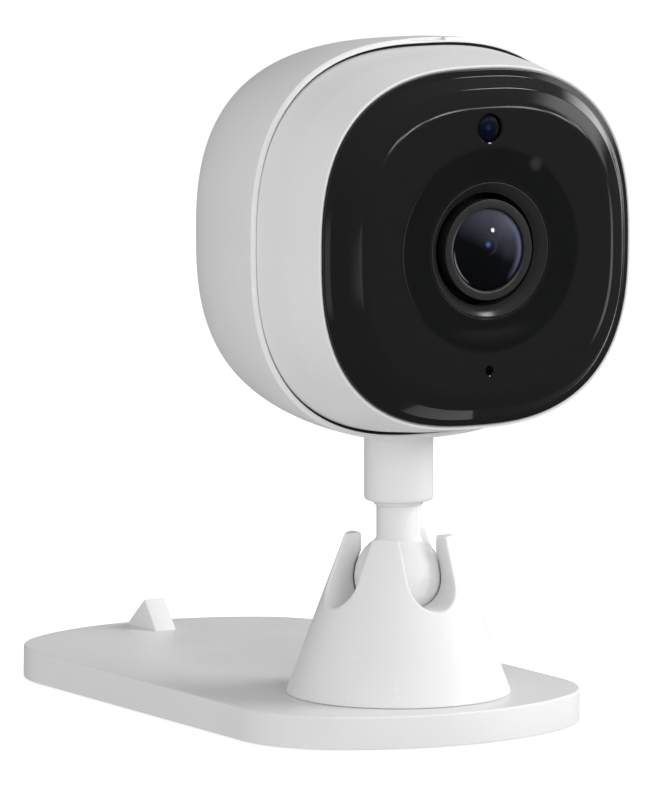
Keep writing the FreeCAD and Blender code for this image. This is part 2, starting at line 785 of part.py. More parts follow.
def screw_along_y(name, x, z, seat, head, length):
    """Screw driven towards +Y with its head's underside at seat."""
    top = disc(name + "_head", head, f"{seat} - 1.2", seat, x, z)
    stem = disc(name + "_shank", "screw_stem", f"{seat} - 0.2", f"{seat} + {length}", x, z)
    drive = solid("Prism", name + "_drive", (x, f"{seat} - 2", z), ALONG_Y,
                  Circumradius=f"{head} * 0.45", Height="1.5")
    return cut(name, fuse(name + "_blank", top, stem), drive)


def make_head_screws():
    housing = [screw_along_y(f"housing_screw_{index}", x, z, FLANGE_FRONT, "1.9", "9")
               for index, (x, z, _) in enumerate(posts_for(HOUSING_SEAT))]
    node("housing_screws", group("housing_screw_set", housing))
    board = [screw_along_y(f"board_screw_{index}", x, z, "board_front", "1.8", "8")
             for index, (x, z, _) in enumerate(posts_for(BOARD_REAR))]
    node("board_screws", group("board_screw_set", board))


# Lens ---------------------------------------------------------------------------------------------
def make_lens_trim():
    """Ring glued behind the window's lens hole, with a bevel that narrows towards the lens."""
    sleeve = disc("trim_sleeve", "trim_outer", "window_face + 0.05",
                  "window_face + window_thickness + 0.5")
    flange = disc("trim_back", "trim_flange", "window_face + window_thickness + 0.05",
                  "window_face + window_thickness + 0.8")
    bore = disc("trim_bore", "trim_inner", "window_face - 1", "window_face + 6")
    bevel = solid("Cone", "trim_bevel", ("0", "window_face", "lens_height"), ALONG_Y,
                  Radius1="trim_outer - 0.15", Radius2="trim_inner - 0.1", Height="1.6")
    node("lens_trim_ring", cut("trim", fuse("trim_blank", sleeve, flange), bore, bevel))
    foam = disc("seal_outside", "11.6", "window_face + window_thickness + 0.85",
                "led_board_front - 0.05")
    hole = disc("seal_inside", "trim_inner", "window_face", "led_board_front + 1")
    node("light_seal", cut("seal", foam, hole))


def make_lens_barrel():
    """Stepped barrel: a wide front disc, then the threaded length that enters the holder."""
    face = disc("barrel_disc", "disc_radius", "disc_face", "disc_face + 2.4")
    tube = disc("barrel_tube", "barrel_radius", "disc_face + 1", "barrel_rear")
    pocket_front = disc("barrel_pocket", "glass_radius + 0.05", "disc_face - 1", "disc_face + 2.25")
    bore = disc("barrel_bore", "bore_radius", "disc_face", "barrel_rear + 1")
    bevel = solid("Cone", "barrel_bevel", ("0", "disc_face - 0.01", "lens_height"), ALONG_Y,
                  Radius1="glass_radius + 0.75", Radius2="glass_radius + 0.05", Height="0.5")
    node("lens_barrel", cut("barrel", fuse("barrel_blank", face, tube), pocket_front, bore, bevel))


def make_lenses():
    """Domed front glass, and two biconvex glasses further down the barrel."""
    rim = "disc_face + 0.45"
    blank = disc("glass_blank", "glass_radius", f"{rim} - glass_bulge", "disc_face + 2.2")
    dome = solid("Sphere", "glass_dome", ("0", f"{rim} - glass_bulge + glass_curve", "lens_height"),
                 Radius="glass_curve")
    node("front_lens", common("front_glass", blank, dome))
    inner = []
    for index, middle in enumerate(("disc_face + 5", "disc_face + 9.5")):
        limit = disc(f"inner_limit_{index}", "bore_radius - 0.05", f"{middle} - 2", f"{middle} + 2")
        near = solid("Sphere", f"inner_near_{index}", ("0", f"{middle} + 11", "lens_height"),
                     Radius="12.4")
        far = solid("Sphere", f"inner_far_{index}", ("0", f"{middle} - 11", "lens_height"),
                    Radius="12.4")
        inner.append(common(f"inner_glass_{index}", limit, near, far))
    node("inner_lenses", group("inner_glass_set", inner))


def make_lens_holder():
    """Holder on the main board: a tube for the barrel over a square foot around the sensor."""
    foot = block("holder_foot", "17", "3.5", "17", y="board_front - 3.5", z="lens_height - 8.5")
    tube = disc("holder_tube", "barrel_radius + 1.3", "barrel_rear - 5", "board_front - 3")
    bore = disc("holder_bore", "barrel_radius + running_gap", "barrel_rear - 6", "barrel_rear + 0.5")
    stop = disc("holder_stop", "4.0", "barrel_rear - 1", "board_front")
    room = block("holder_room", "9.4", "4", "9.4", y="board_front - 2.9", z="lens_height - 4.7")
    node("lens_holder", cut("holder", fuse("holder_blank", foot, tube), bore, stop, room))
    node("ir_cut_filter", block("filter_glass", "9.2", "0.4", "9.2", y="board_front - 2.85",
                                z="lens_height - 4.6"))
    node("image_sensor", block("sensor_chip", "7.6", "0.95", "6.8", y="board_front - 0.95",
                               z="lens_height - 3.4"))


# Electronics --------------------------------------------------------------------------------------
def make_main_board():
    """Rounded square board across the head, drilled for its four screws."""
    body = doc.addObject("PartDesign::Body", "main_board")
    drawn = sketch(body, "board_outline", role="XZ_Plane", height=f"-({BOARD_REAR})")
    half, corner = size("board_half"), size("board_corner")
    near, height = half - corner, size("lens_height")
    quarter = math.pi / 2
    corners = [(near, near), (-near, near), (-near, -near), (near, -near)]
    for index, (x, z) in enumerate(corners):
        centre = Vector(x, height + z, 0)
        ring = Part.Circle(centre, Vector(0, 0, 1), corner)
        drawn.addGeometry(Part.ArcOfCircle(ring, index * quarter, (index + 1) * quarter))
    for index in range(4):
        end = drawn.Geometry[index].EndPoint
        start = drawn.Geometry[(index + 1) % 4].StartPoint
        drawn.addGeometry(Part.LineSegment(end, start))
        drawn.addConstraint(Sketcher.Constraint("Tangent", index, 2, 4 + index, 1))
        drawn.addConstraint(Sketcher.Constraint("Tangent", 4 + index, 2, (index + 1) % 4, 1))
    constrain(drawn, "board_corner", "Radius", 0, corner)
    for index in (1, 2, 3):
        drawn.addConstraint(Sketcher.Constraint("Equal", 0, index))
    inner = "(board_half - board_corner)"
    constrain(drawn, inner, "DistanceX", -1, 1, 0, 3, near)
    constrain(drawn, f"lens_height + {inner}", "DistanceY", -1, 1, 0, 3, height + near)
    constrain(drawn, f"-{inner}", "DistanceX", -1, 1, 2, 3, -near)
    constrain(drawn, f"lens_height - {inner}", "DistanceY", -1, 1, 2, 3, height - near)
    add_circles(drawn, [(x, z, "board_screw_hole") for x, z, _ in posts_for(BOARD_REAR)])
    pad(body, "board", drawn, "board_thickness")
    node("main_board", body)


def make_led_board():
    """Ring board around the barrel with six infrared emitters."""
    ring = disc("led_ring", "led_board_outer", "led_board_front", "led_board_front + 1")
    hole = disc("led_ring_hole", "led_board_inner", "led_board_front - 1", "led_board_front + 2")
    node("ir_led_board", cut("led_board", ring, hole))
    emitters = []
    for index in range(6):
        turn = math.radians(30 + 60 * index)
        x = f"led_circle * {math.cos(turn):.5f}"
        z = f"lens_height + led_circle * {math.sin(turn):.5f}"
        case = block(f"led_case_{index}", "led_case", "0.8", "led_case", x=x,
                     y="led_board_front - 0.8", z=f"{z} - led_case / 2")
        dome = solid("Sphere", f"led_dome_{index}", (x, "led_board_front - 1.2", z),
                     Radius="led_lens")
        emitters.append(fuse(f"led_{index}", case, dome))
    node("ir_leds", group("led_set", emitters))
    header = block("led_header", "8", "board_front - led_board_front - 1", "2.5",
                   y="led_board_front + 1", z="lens_height - led_circle - 1.2")
    node("led_board_connector", header)


def make_front_sensors():
    """Light guide over the ambient light sensor, and the microphone with its rubber boot."""
    rise, drop = "lens_height + sensor_offset", "lens_height - microphone_offset"
    behind = "window_face + window_thickness"
    node("light_guide", disc("guide_rod", "1.7", f"{behind} + 0.4", "board_front - 0.9", z=rise))
    node("light_sensor", block("light_chip", "2", "0.85", "2", y="board_front - 0.85", z=f"{rise} - 1"))
    boot = disc("boot_outside", "2.6", f"{behind} + 0.05", "board_front - 1.1", z=drop)
    bore = disc("boot_inside", "0.8", "window_face", "board_front", z=drop)
    node("microphone_boot", cut("boot", boot, bore))
    node("microphone", block("microphone_can", "3.8", "1.05", "3", y="board_front - 1.05",
                             z=f"{drop} - 1.5"))


def make_rear_electronics():
    """Shield can, speaker and its mesh, antenna, and the connector board with what it carries."""
    node("processor_shield", block("shield_can", "20", "2.2", "16", y=BOARD_REAR, z="lens_height - 4"))
    centre = "lens_height + speaker_rise"
    frame = disc("speaker_frame", "speaker_radius", f"{BACK_INSIDE} - 3.2", f"{BACK_INSIDE} - 0.4",
                 z=centre)
    magnet = disc("speaker_magnet", "6", f"{BACK_INSIDE} - 5.2", f"{BACK_INSIDE} - 3", z=centre)
    node("speaker", fuse("speaker_solid", frame, magnet))
    node("speaker_mesh", disc("mesh_disc", "speaker_radius - 0.3", f"{BACK_INSIDE} - 0.35",
                              f"{BACK_INSIDE} - 0.05", z=centre))
    node("wifi_antenna", block("antenna_strip", "26", "0.4", "7", y=f"{BACK_INSIDE} - 0.45",
                               z="lens_height + 15.3"))
    floor = "lens_height - io_board_drop"
    node("io_board", block("io_plate", "30", "14.5", "1", y="2.6", z=floor))
    node("io_flex", block("flex_strip", "8", f"6 - ({BOARD_REAR})", "0.3", y=BOARD_REAR,
                          z=f"{floor} + 1"))
    shell = block("usb_shell", "9.0", "7.3", "3.2", y="11.9", z="lens_height - usb_drop - 1.6")
    mouth = block("usb_mouth", "8.4", "7.3", "2.6", y="12.4", z="lens_height - usb_drop - 1.3")
    node("usb_socket", cut("usb_case", shell, mouth))
    node("usb_tongue", block("usb_blade", "6.6", "5.2", "0.7", y="12.4",
                             z="lens_height - usb_drop - 0.35"))
    case = block("card_case", "14", "14", "1.9", y="3.2", z="lens_height - card_drop - 0.95")
    track = block("card_track", "11.2", "14", "0.9", y="4.2", z="lens_height - card_drop - 0.45")
    node("card_socket", cut("card_housing", case, track))


def make_reset_button():
    """Push button in the back wall over a side-actuated switch on the connector board."""
    x, z = "button_offset", "lens_height - button_drop"
    cap = disc("button_cap", "button_radius", f"{BACK_INSIDE} - 1.5", "shell_back - 0.3", x, z)
    collar = disc("button_flange", "1.9", f"{BACK_INSIDE} - 1.1", f"{BACK_INSIDE} - 0.1", x, z)
    node("reset_button", fuse("button", cap, collar))
    case = block("switch_case", "4.6", "3.2", "3.6", x=x, y="12",
                 z="lens_height - io_board_drop + 1")
    plunger = disc("switch_plunger", "0.7", "14", f"{BACK_INSIDE} - 1.6 - button_travel", x, z)
    node("reset_switch", fuse("switch", case, plunger))


# Build, check and write ---------------------------------------------------------------------------
def check_model():
    for item in doc.Objects:
        if {"Invalid", "Error"} & set(item.State):
            raise RuntimeError(f"{item.Name} failed: {item.State}")
    for label, piece in nodes.items():
        if piece.Shape.isNull() or not piece.Shape.isValid() or piece.Shape.Volume <= 0:
            raise RuntimeError(f"{label} has no valid shape")


def write_parts():
    os.makedirs("parts", exist_ok=True)
    for label, piece in nodes.items():
        piece.Shape.exportStep(f"parts/{label}.step")
        print(f"{label}: {len(piece.Shape.Solids)} solid(s), {piece.Shape.Volume:.1f} mm3")


make_base_plate()
make_ballast_plate()
make_bottom_cover()
make_foot_pads()
make_base_screws()
make_socket_cone()
make_cone_screws()
make_ball_seat()
make_ball_stud()
make_stud_screw()
make_rear_shell()
make_front_ring()
make_front_window()
make_window_gasket()
make_head_screws()
make_lens_trim()
make_lens_barrel()
make_lenses()
make_lens_holder()
make_main_board()
make_led_board()
make_front_sensors()
make_rear_electronics()
make_reset_button()
doc.recompute()
check_model()
write_parts()
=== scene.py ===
import json
import math

import bmesh
import bpy
from mathutils import Matrix, Vector


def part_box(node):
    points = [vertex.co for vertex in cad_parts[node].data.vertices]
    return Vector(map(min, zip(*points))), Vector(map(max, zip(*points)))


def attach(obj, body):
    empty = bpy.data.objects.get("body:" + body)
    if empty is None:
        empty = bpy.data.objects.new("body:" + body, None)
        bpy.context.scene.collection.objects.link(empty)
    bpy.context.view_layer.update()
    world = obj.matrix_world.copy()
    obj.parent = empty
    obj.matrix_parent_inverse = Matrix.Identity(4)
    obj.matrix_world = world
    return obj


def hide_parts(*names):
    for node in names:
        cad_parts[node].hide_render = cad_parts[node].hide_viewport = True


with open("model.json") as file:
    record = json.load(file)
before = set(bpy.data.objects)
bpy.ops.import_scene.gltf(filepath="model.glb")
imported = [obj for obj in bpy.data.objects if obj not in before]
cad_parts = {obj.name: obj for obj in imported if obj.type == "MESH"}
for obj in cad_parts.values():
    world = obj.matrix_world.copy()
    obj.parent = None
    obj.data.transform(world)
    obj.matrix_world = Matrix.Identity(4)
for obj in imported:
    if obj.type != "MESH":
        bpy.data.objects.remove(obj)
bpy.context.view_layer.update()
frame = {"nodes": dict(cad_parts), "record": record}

# Indoor security camera on a low stand, dressed for a soft white studio.
# Pieces are drawn in millimetres around the CAD nodes' boxes and scaled to metres at the end.

MM = 0.001


# Measures ---------------------------------------------
def limits(node):
    """Lowest and highest corner of a CAD node, in millimetres."""
    low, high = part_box(node)
    return low / MM, high / MM


SHELL_LOW, SHELL_HIGH = limits("rear_shell")
RING_LOW, RING_HIGH = limits("front_ring")
WINDOW_LOW, WINDOW_HIGH = limits("front_window")
TRIM_LOW, TRIM_HIGH = limits("lens_trim_ring")
BARREL_LOW, BARREL_HIGH = limits("lens_barrel")
GLASS_LOW, GLASS_HIGH = limits("front_lens")
GUIDE_LOW, GUIDE_HIGH = limits("light_guide")
BOOT_LOW, BOOT_HIGH = limits("microphone_boot")
CONE_LOW, CONE_HIGH = limits("socket_cone")
STUD_LOW, STUD_HIGH = limits("ball_stud")
BASE_LOW, BASE_HIGH = limits("base_plate")
PADS_LOW, PADS_HIGH = limits("foot_pads")
BUTTON_LOW, BUTTON_HIGH = limits("reset_button")
USB_LOW, USB_HIGH = limits("usb_socket")
CARD_LOW, CARD_HIGH = limits("card_socket")

LENS_Z = (GLASS_LOW.z + GLASS_HIGH.z) / 2
SQUARE_POWER = 2.6
ROUND_POWER = 2.0
LOOP = 288                       # points round a rounded-square loop
TURN = 96                        # points round a turned piece

RING_OVERLAP = 4.5               # how far the ring reaches inside the rear shell
PARTING = RING_HIGH.y - RING_OVERLAP
SHELL_HALF = SHELL_HIGH.x
SHELL_BACK = SHELL_HIGH.y
SHELL_BACK_HALF = 26.6
SHELL_WALL = 1.8
RIM_WALL = 0.8
RIM_DEPTH = 5.1
RING_WIDE = SHELL_HALF - RIM_WALL - 0.06
RING_SQUAT = 0.46                # the ring is this much lower than wide where it enters the shell
COLLAR_RADIUS = 5.83
COLLAR_BOTTOM = 38.4
COLLAR_ROUND = 1.8
LIP_RADIUS = 4.15
FLARE_BOTTOM = 48.3
FLARE_TOP = 50.0
FLARE_RADIUS = 7.5
NOTCH_CENTRE = 0.3
NOTCH_WIDTH = 7.0
NOTCH_LENGTH = 1.2
NOTCH_DEPTH = 0.45
POST_RADIUS = 3.75

BALL_RADIUS = (STUD_HIGH.x - STUD_LOW.x) / 2
BALL_Z = STUD_LOW.z + BALL_RADIUS
BASE_HALF = BASE_HIGH.x
CORNER_RADIUS = 19.5
TIP_RADIUS = 43.0
BASE_TOP = CONE_LOW.z

SPEAKER_RISE = 3.0               # the sound holes' centre above the lens axis
HOLE_PITCH = 2.6
HOLE_RADIUS = 0.7
HOLE_REACH = 7.8
BUTTON_HOLE = 1.6
BUTTON_X = (BUTTON_LOW.x + BUTTON_HIGH.x) / 2
BUTTON_Z = (BUTTON_LOW.z + BUTTON_HIGH.z) / 2
USB_MOUTH = (9.6, 3.8, 1.85)     # width, height and corner radius
CARD_MOUTH = (12.6, 1.7, 0.5)
RING_LIP = 30.1
RING_SEAT = 29.5                 # the window's pocket in the ring
WINDOW_FLAT = 23.95              # half widths of the raised flat and of the slopes round it
WINDOW_SHOULDER = 26.5
WINDOW_FOOT = 28.4
LENS_HOLE = 11.35
SENSOR_HOLE = 2.35
MICROPHONE_HOLE = 0.75
GUIDE_Z = (GUIDE_LOW.z + GUIDE_HIGH.z) / 2
TRIM_FLANGE = 12.6
BARREL_RADIUS = 8.35
BARREL_BORE = 5.0
GLASS_CURVE = 15.7
INNER_CURVE = 12.4
INNER_RADIUS = 4.95
WEDGE_HALF = 2.1
WEDGE_NEAR, WEDGE_RIDGE, WEDGE_FAR = 78.4, 83.3, 90.2
CONE_TOP_RADIUS = 9.05
SLOT_HALF = 4.4
MOUTH_RADIUS = 6.44
SOCKET_GAP = 0.25
SEAT_BORE, SEAT_BOTTOM = 5.05, 16.55
CONE_VOXEL, CONE_VOXEL_QUICK = 0.22, 0.5
PAD_RADIUS = 5.0

# Finishes ---------------------------------------------
WINDOW_COLOUR = (0.0105, 0.0108, 0.0108)
BAND_COLOUR = (0.0048, 0.0052, 0.0056)
SPOT_COLOUR = (0.0115, 0.0118, 0.012)
ARC_COLOUR = (0.03, 0.03, 0.031)
DUST_COLOUR = (0.02, 0.02, 0.021)
GLASS_DARK = (0.003, 0.0033, 0.0045)
# Painted reflection on the front glass, paler and bluer towards its upper right.
GLASS_PAINTED_REFLECTION = (0.062, 0.065, 0.09)
# Painted reflection along the front glass's right rim.
GLASS_RIM_REFLECTION = (0.10, 0.10, 0.19)
# Painted highlight: a thin bright arc at the front glass's lower-left edge.
GLASS_ARC_HIGHLIGHT = (0.32, 0.33, 0.36)
# Painted highlight: a dim thin arc round the painted blue glint.
GLINT_ARC_HIGHLIGHT = (0.03, 0.032, 0.045)
# Painted glint: a small blue spot near the lens's middle.
BLUE_GLINT = (0.05, 0.10, 0.34)
# Painted highlight: a small white spot on the front glass.
GLINT = (0.85, 0.88, 0.95)
WHITE_LIGHT = (0.80, 0.80, 0.795)
WHITE_DARK = (0.775, 0.777, 0.773)
BAND_INNER, BAND_OUTER = 11.4, 17.3     # the emitter board's shadow in the window
ARC_RADIUS = 16.7
SPOT_RADIUS, SPOT_TURN = 16.4, 57.6
BLUE_GLINT_CENTRE = (-0.7, 1.0)                     # the painted blue glint's centre from the lens axis, across and up
GLINT_SPOT = (0.35, 3.3)

# Studio measures --------------------------------------
# The camera, fitted to the outlines in the photo: metres, degrees, and a lens in millimetres.
TARGET = Vector((-0.00998, 0.00593, 0.05635))
DISTANCE = 1.455
AZIMUTH = -30.69
ELEVATION = 7.13
FOCAL = 397.0
# Azimuth, elevation, full and faded angle, brightness of each soft patch.
PATCHES = [
    (62, 20, 4, 20, 2.6),
    (16, 10, 0.6, 3.6, 5.0),
    (22, 9, 0.6, 3.4, 7.0),
    (28, 9, 0.6, 3.4, 8.0),
    (34, 9, 0.6, 3.4, 8.0),
    (40, 9, 0.6, 3.4, 7.0),
    (47, 10, 0.6, 4.0, 5.0),
    (54, -8, 2, 9, 2.2),
    (76, 54, 3, 10, 12.0),
    (104, 12, 4, 24, 2.6),
    (-14, -7, 1, 8, 0.7),
]
# Plain brightness low down and high up in that shell, then in the room's own light.
ROOM_LOW = 0.10
ROOM_HIGH = 0.22
WORLD_LOW = 0.60
WORLD_MIDDLE = 0.64
WORLD_HIGH = 0.44
FLOOR_GLOW = 0.52


# Mesh helpers -----------------------------------------
def make_object(name, bm, smooth_angle=35.0):
    """A new object from a mesh drawn in millimetres."""
    bmesh.ops.recalc_face_normals(bm, faces=bm.faces)
    mesh = bpy.data.meshes.new(name)
    bm.to_mesh(mesh)
    bm.free()
    mesh.transform(Matrix.Scale(MM, 4))
    mesh.shade_smooth()
    mesh.set_sharp_from_angle(angle=math.radians(smooth_angle))
    made = bpy.data.objects.new(name, mesh)
    bpy.context.scene.collection.objects.link(made)
    return made


def place_piece(made, body, nodes, material):
    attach(made, body)
    if nodes:
        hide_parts(*nodes)
    made.data.materials.append(material)
    return made


def add_loops(bm, loops, join_ends=False, cap_start=False, cap_end=False):
    """Skins closed loops of points, each with the same count."""
    rows = [[bm.verts.new(point) for point in loop] for loop in loops]
    pairs = list(zip(rows, rows[1:]))
    if join_ends:
        pairs.append((rows[-1], rows[0]))
    for near, far in pairs:
        for index in range(len(near)):
            after = (index + 1) % len(near)
            bm.faces.new((near[index], near[after], far[after], far[index]))
    if cap_start:
        bm.faces.new(list(reversed(rows[0])))
    if cap_end:
        bm.faces.new(rows[-1])
    return rows


def rounded_square(half_width, half_height, y, power=SQUARE_POWER, count=LOOP, centre_z=None):
    """Loop |x/a|^p + |z/b|^p = 1 about the lens axis."""
    middle = LENS_Z if centre_z is None else centre_z
    loop = []
    for step in range(count):
        turn = 2 * math.pi * step / count
        across, up = math.cos(turn), math.sin(turn)
        reach = (abs(across) ** power + abs(up) ** power) ** (-1 / power)
        loop.append(Vector((half_width * reach * across, y, middle + half_height * reach * up)))
    return loop


def circle_up(radius, z, x=0.0, y=0.0, count=TURN):
    """Loop about a vertical axis."""
    turns = [2 * math.pi * step / count for step in range(count)]
    return [Vector((x + radius * math.cos(t), y + radius * math.sin(t), z)) for t in turns]


def round_corners(points, radii, closed=False, steps=6):
    """A flat outline with each corner replaced by an arc of its radius."""
    count = len(points)
    result = []
    for index, (point, radius) in enumerate(zip(points, radii)):
        here = Vector(point)
        open_end = not closed and index in (0, count - 1)
        if open_end or radius <= 0:
            result.append(here)
            continue
        back = Vector(points[index - 1]) - here
        ahead = Vector(points[(index + 1) % count]) - here
        half = back.angle(ahead) / 2
        reach = min(radius / math.tan(half), 0.49 * back.length, 0.49 * ahead.length)
        start = here + back.normalized() * reach
        end = here + ahead.normalized() * reach
        for step in range(steps + 1):
            t = step / steps
            result.append(start * (1 - t) ** 2 + here * 2 * t * (1 - t) + end * t**2)
    return result


def turned_up(bm, profile, x=0.0, y=0.0, cap_start=True, cap_end=True, join_ends=False):
    """A solid of revolution about a vertical axis, from (radius, z) pairs."""
    loops = [circle_up(max(radius, 0.01), z, x, y) for radius, z in profile]
    ends = not join_ends
    add_loops(bm, loops, join_ends, cap_start and ends, cap_end and ends)


def turned_along(bm, profile, x=0.0, z=None, cap_start=True, cap_end=True, join_ends=False, count=TURN):
    """A solid of revolution about an axis along Y, from (radius, y) pairs."""
    middle = LENS_Z if z is None else z
    loops = []
    for radius, y in profile:
        loop = rounded_square(max(radius, 0.01), max(radius, 0.01), y, ROUND_POWER, count, middle)
        loops.append([point + Vector((x, 0, 0)) for point in loop])
    ends = not join_ends
    add_loops(bm, loops, join_ends, cap_start and ends, cap_end and ends)


def box_into(bm, low, high, bevel=0.0, segments=3):
    """A box between two corners with rounded edges."""
    low, high = Vector(low), Vector(high)
    made = bmesh.ops.create_cube(bm, size=1.0)["verts"]
    for vert in made:
        vert.co = Vector(
            (low[i] + (vert.co[i] + 0.5) * (high[i] - low[i]) for i in range(3))
        )
    if bevel > 0:
        edges = list({edge for vert in made for edge in vert.link_edges})
        bmesh.ops.bevel(bm, geom=edges, offset=bevel, segments=segments, affect="EDGES", profile=0.5)


def cut_with(made, bm_tools):
    """Removes the tools' solids from a finished piece."""
    tools = make_object("cutting_tools", bm_tools)
    step = made.modifiers.new("cut", "BOOLEAN")
    step.operation = "DIFFERENCE"
    step.solver = "EXACT"
    step.object = tools
    bake_modifiers(made)
    bpy.data.objects.remove(tools)


def bake_modifiers(made, smooth_angle=35.0):
    graph = bpy.context.evaluated_depsgraph_get()
    graph.update()
    mesh = bpy.data.meshes.new_from_object(made.evaluated_get(graph))
    made.modifiers.clear()
    made.data = mesh
    mesh.shade_smooth()
    mesh.set_sharp_from_angle(angle=math.radians(smooth_angle))


# Material helpers -------------------------------------
class Nodes:
    """A material's node tree with its shader and object coordinates ready."""

    def __init__(self, name):
        self.material = bpy.data.materials.new(name)
        self.material.use_nodes = True
        self.tree = self.material.node_tree
        self.shader = self.tree.nodes["Principled BSDF"]
        self.place = self.add("ShaderNodeTexCoord")

    def add(self, kind, **values):
        made = self.tree.nodes.new(kind)
        for key, value in values.items():
            if hasattr(made, key):
                setattr(made, key, value)
            else:
                made.inputs[key.replace("_", " ").title()].default_value = value
        return made

    def link(self, source, target):
        self.tree.links.new(source, target)

    def noise(self, scale, detail=3.0, roughness=0.5, stretch=None):
        """A noise whose scale is in features per millimetre."""
        made = self.add("ShaderNodeTexNoise")
        made.inputs["Scale"].default_value = scale / MM
        made.inputs["Detail"].default_value = detail
        made.inputs["Roughness"].default_value = roughness
        source = self.place.outputs["Object"]
        if stretch:
            spread = self.add("ShaderNodeMapping")
            spread.inputs["Scale"].default_value = stretch
            self.link(source, spread.inputs["Vector"])
            source = spread.outputs["Vector"]
        self.link(source, made.inputs["Vector"])
        return made.outputs["Fac"]

    def spread(self, source, low, high, start=0.3, end=0.7):
        """Maps a value from one range to another."""
        made = self.add("ShaderNodeMapRange")
        ends = {"From Min": start, "From Max": end, "To Min": low, "To Max": high}
        for socket, value in ends.items():
            made.inputs[socket].default_value = value
        self.link(source, made.inputs["Value"])
        return made.outputs["Result"]

    def blend(self, amount, first, second):
        """A colour mixed by amount; each colour is a tuple or an output."""
        made = self.add("ShaderNodeMix", data_type="RGBA")
        self.link(amount, made.inputs["Factor"])
        for socket, value in ((made.inputs[6], first), (made.inputs[7], second)):
            if isinstance(value, tuple):
                socket.default_value = (*value, 1.0)
            else:
                self.link(value, socket)
        return made.outputs[2]

    def bump(self, height, strength, depth):
        """depth is the height in millimetres of a full step of the texture."""
        made = self.add("ShaderNodeBump")
        made.inputs["Strength"].default_value = strength
        made.inputs["Distance"].default_value = depth * MM
        self.link(height, made.inputs["Height"])
        self.link(made.outputs["Normal"], self.shader.inputs["Normal"])

    def set(self, **values):
        for key, value in values.items():
            self.shader.inputs[key.replace("_", " ")].default_value = value


def moulded(name, light, dark, rough_low, rough_high, grain=7.0, depth=0.012, specular=0.5, wear=None):
    """Moulded plastic or rubber: fine spark-eroded grain, patchy gloss and a trace of handling."""
    m = Nodes(name)
    patches = m.noise(0.05, 4.0)
    colour = m.blend(m.spread(patches, 0.0, 1.0), dark, light)
    if wear:
        edges = m.add("ShaderNodeNewGeometry").outputs["Pointiness"]
        scuffs = m.add("ShaderNodeMath", operation="MULTIPLY")
        m.link(m.spread(edges, 0.0, 0.8, 0.53, 0.62), scuffs.inputs[0])
        m.link(m.spread(m.noise(0.6, 5.0), 0.2, 1.0, 0.4, 0.6), scuffs.inputs[1])
        colour = m.blend(scuffs.outputs[0], colour, wear)
    m.link(colour, m.shader.inputs["Base Color"])
    m.link(m.spread(m.noise(0.11, 5.0, 0.6), rough_low, rough_high), m.shader.inputs["Roughness"])
    m.bump(m.noise(grain, 2.0), 0.35, depth)
    m.set(**{"Specular IOR Level": specular})
    return m.material


def brushed(name, light, dark, rough_low, rough_high, stretch=(1.0, 0.08, 1.0)):
    """Metal with drawn marks along one way."""
    m = Nodes(name)
    marks = m.noise(6.0, 3.0, stretch=stretch)
    m.link(m.blend(m.spread(marks, 0.0, 1.0), dark, light), m.shader.inputs["Base Color"])
    m.link(m.spread(m.noise(0.8, 4.0), rough_low, rough_high), m.shader.inputs["Roughness"])
    m.bump(marks, 0.25, 0.01)
    m.set(Metallic=1.0)
    return m.material


def clear_glass(name, tint, film=0.0, rough=0.0):
    """Polished glass with faint smears, and a coating where film is its thickness in nanometres."""
    m = Nodes(name)
    smears = m.noise(0.35, 6.0, 0.65)
    m.link(m.blend(m.spread(smears, 0.0, 1.0), tint, tuple(min(1.0, c * 1.02) for c in tint)),
           m.shader.inputs["Base Color"])
    m.link(m.spread(smears, rough, rough + 0.02, 0.45, 0.8), m.shader.inputs["Roughness"])
    m.set(**{"Transmission Weight": 1.0, "IOR": 1.5})
    if film:
        m.set(**{"Thin Film Thickness": film, "Thin Film IOR": 1.38})
    return m.material


def radial_distance(m, x, z):
    """Distance from an axis along Y through x and z, in millimetres."""
    shift = m.add("ShaderNodeVectorMath", operation="SUBTRACT")
    shift.inputs[1].default_value = (x * MM, 0.0, z * MM)
    m.link(m.place.outputs["Object"], shift.inputs[0])
    flat = m.add("ShaderNodeVectorMath", operation="MULTIPLY")
    flat.inputs[1].default_value = (1.0 / MM, 0.0, 1.0 / MM)
    m.link(shift.outputs[0], flat.inputs[0])
    length = m.add("ShaderNodeVectorMath", operation="LENGTH")
    m.link(flat.outputs[0], length.inputs[0])
    return length.outputs["Value"]


def multiplied(m, first, second):
    made = m.add("ShaderNodeMath", operation="MULTIPLY")
    m.link(first, made.inputs[0])
    m.link(second, made.inputs[1])
    return made.outputs[0]


def sector(m, radius, half_width, towards, reach, x=0.0, z=LENS_Z):
    """A soft arc about an axis along Y, fading out at reach degrees from its middle."""
    distance = radial_distance(m, x, z)
    rising = m.spread(distance, 0.0, 1.0, radius - half_width, radius)
    falling = m.spread(distance, 1.0, 0.0, radius, radius + half_width)
    turn = math.radians(towards)
    shift = m.add("ShaderNodeVectorMath", operation="SUBTRACT")
    shift.inputs[1].default_value = (x * MM, 0.0, z * MM)
    m.link(m.place.outputs["Object"], shift.inputs[0])
    along = m.add("ShaderNodeVectorMath", operation="DOT_PRODUCT")
    along.inputs[1].default_value = (math.cos(turn) / MM, 0.0, math.sin(turn) / MM)
    m.link(shift.outputs[0], along.inputs[0])
    edge = radius * math.cos(math.radians(reach))
    facing = m.spread(along.outputs["Value"], 0.0, 1.0, edge, radius)
    return multiplied(m, multiplied(m, rising, falling), facing)


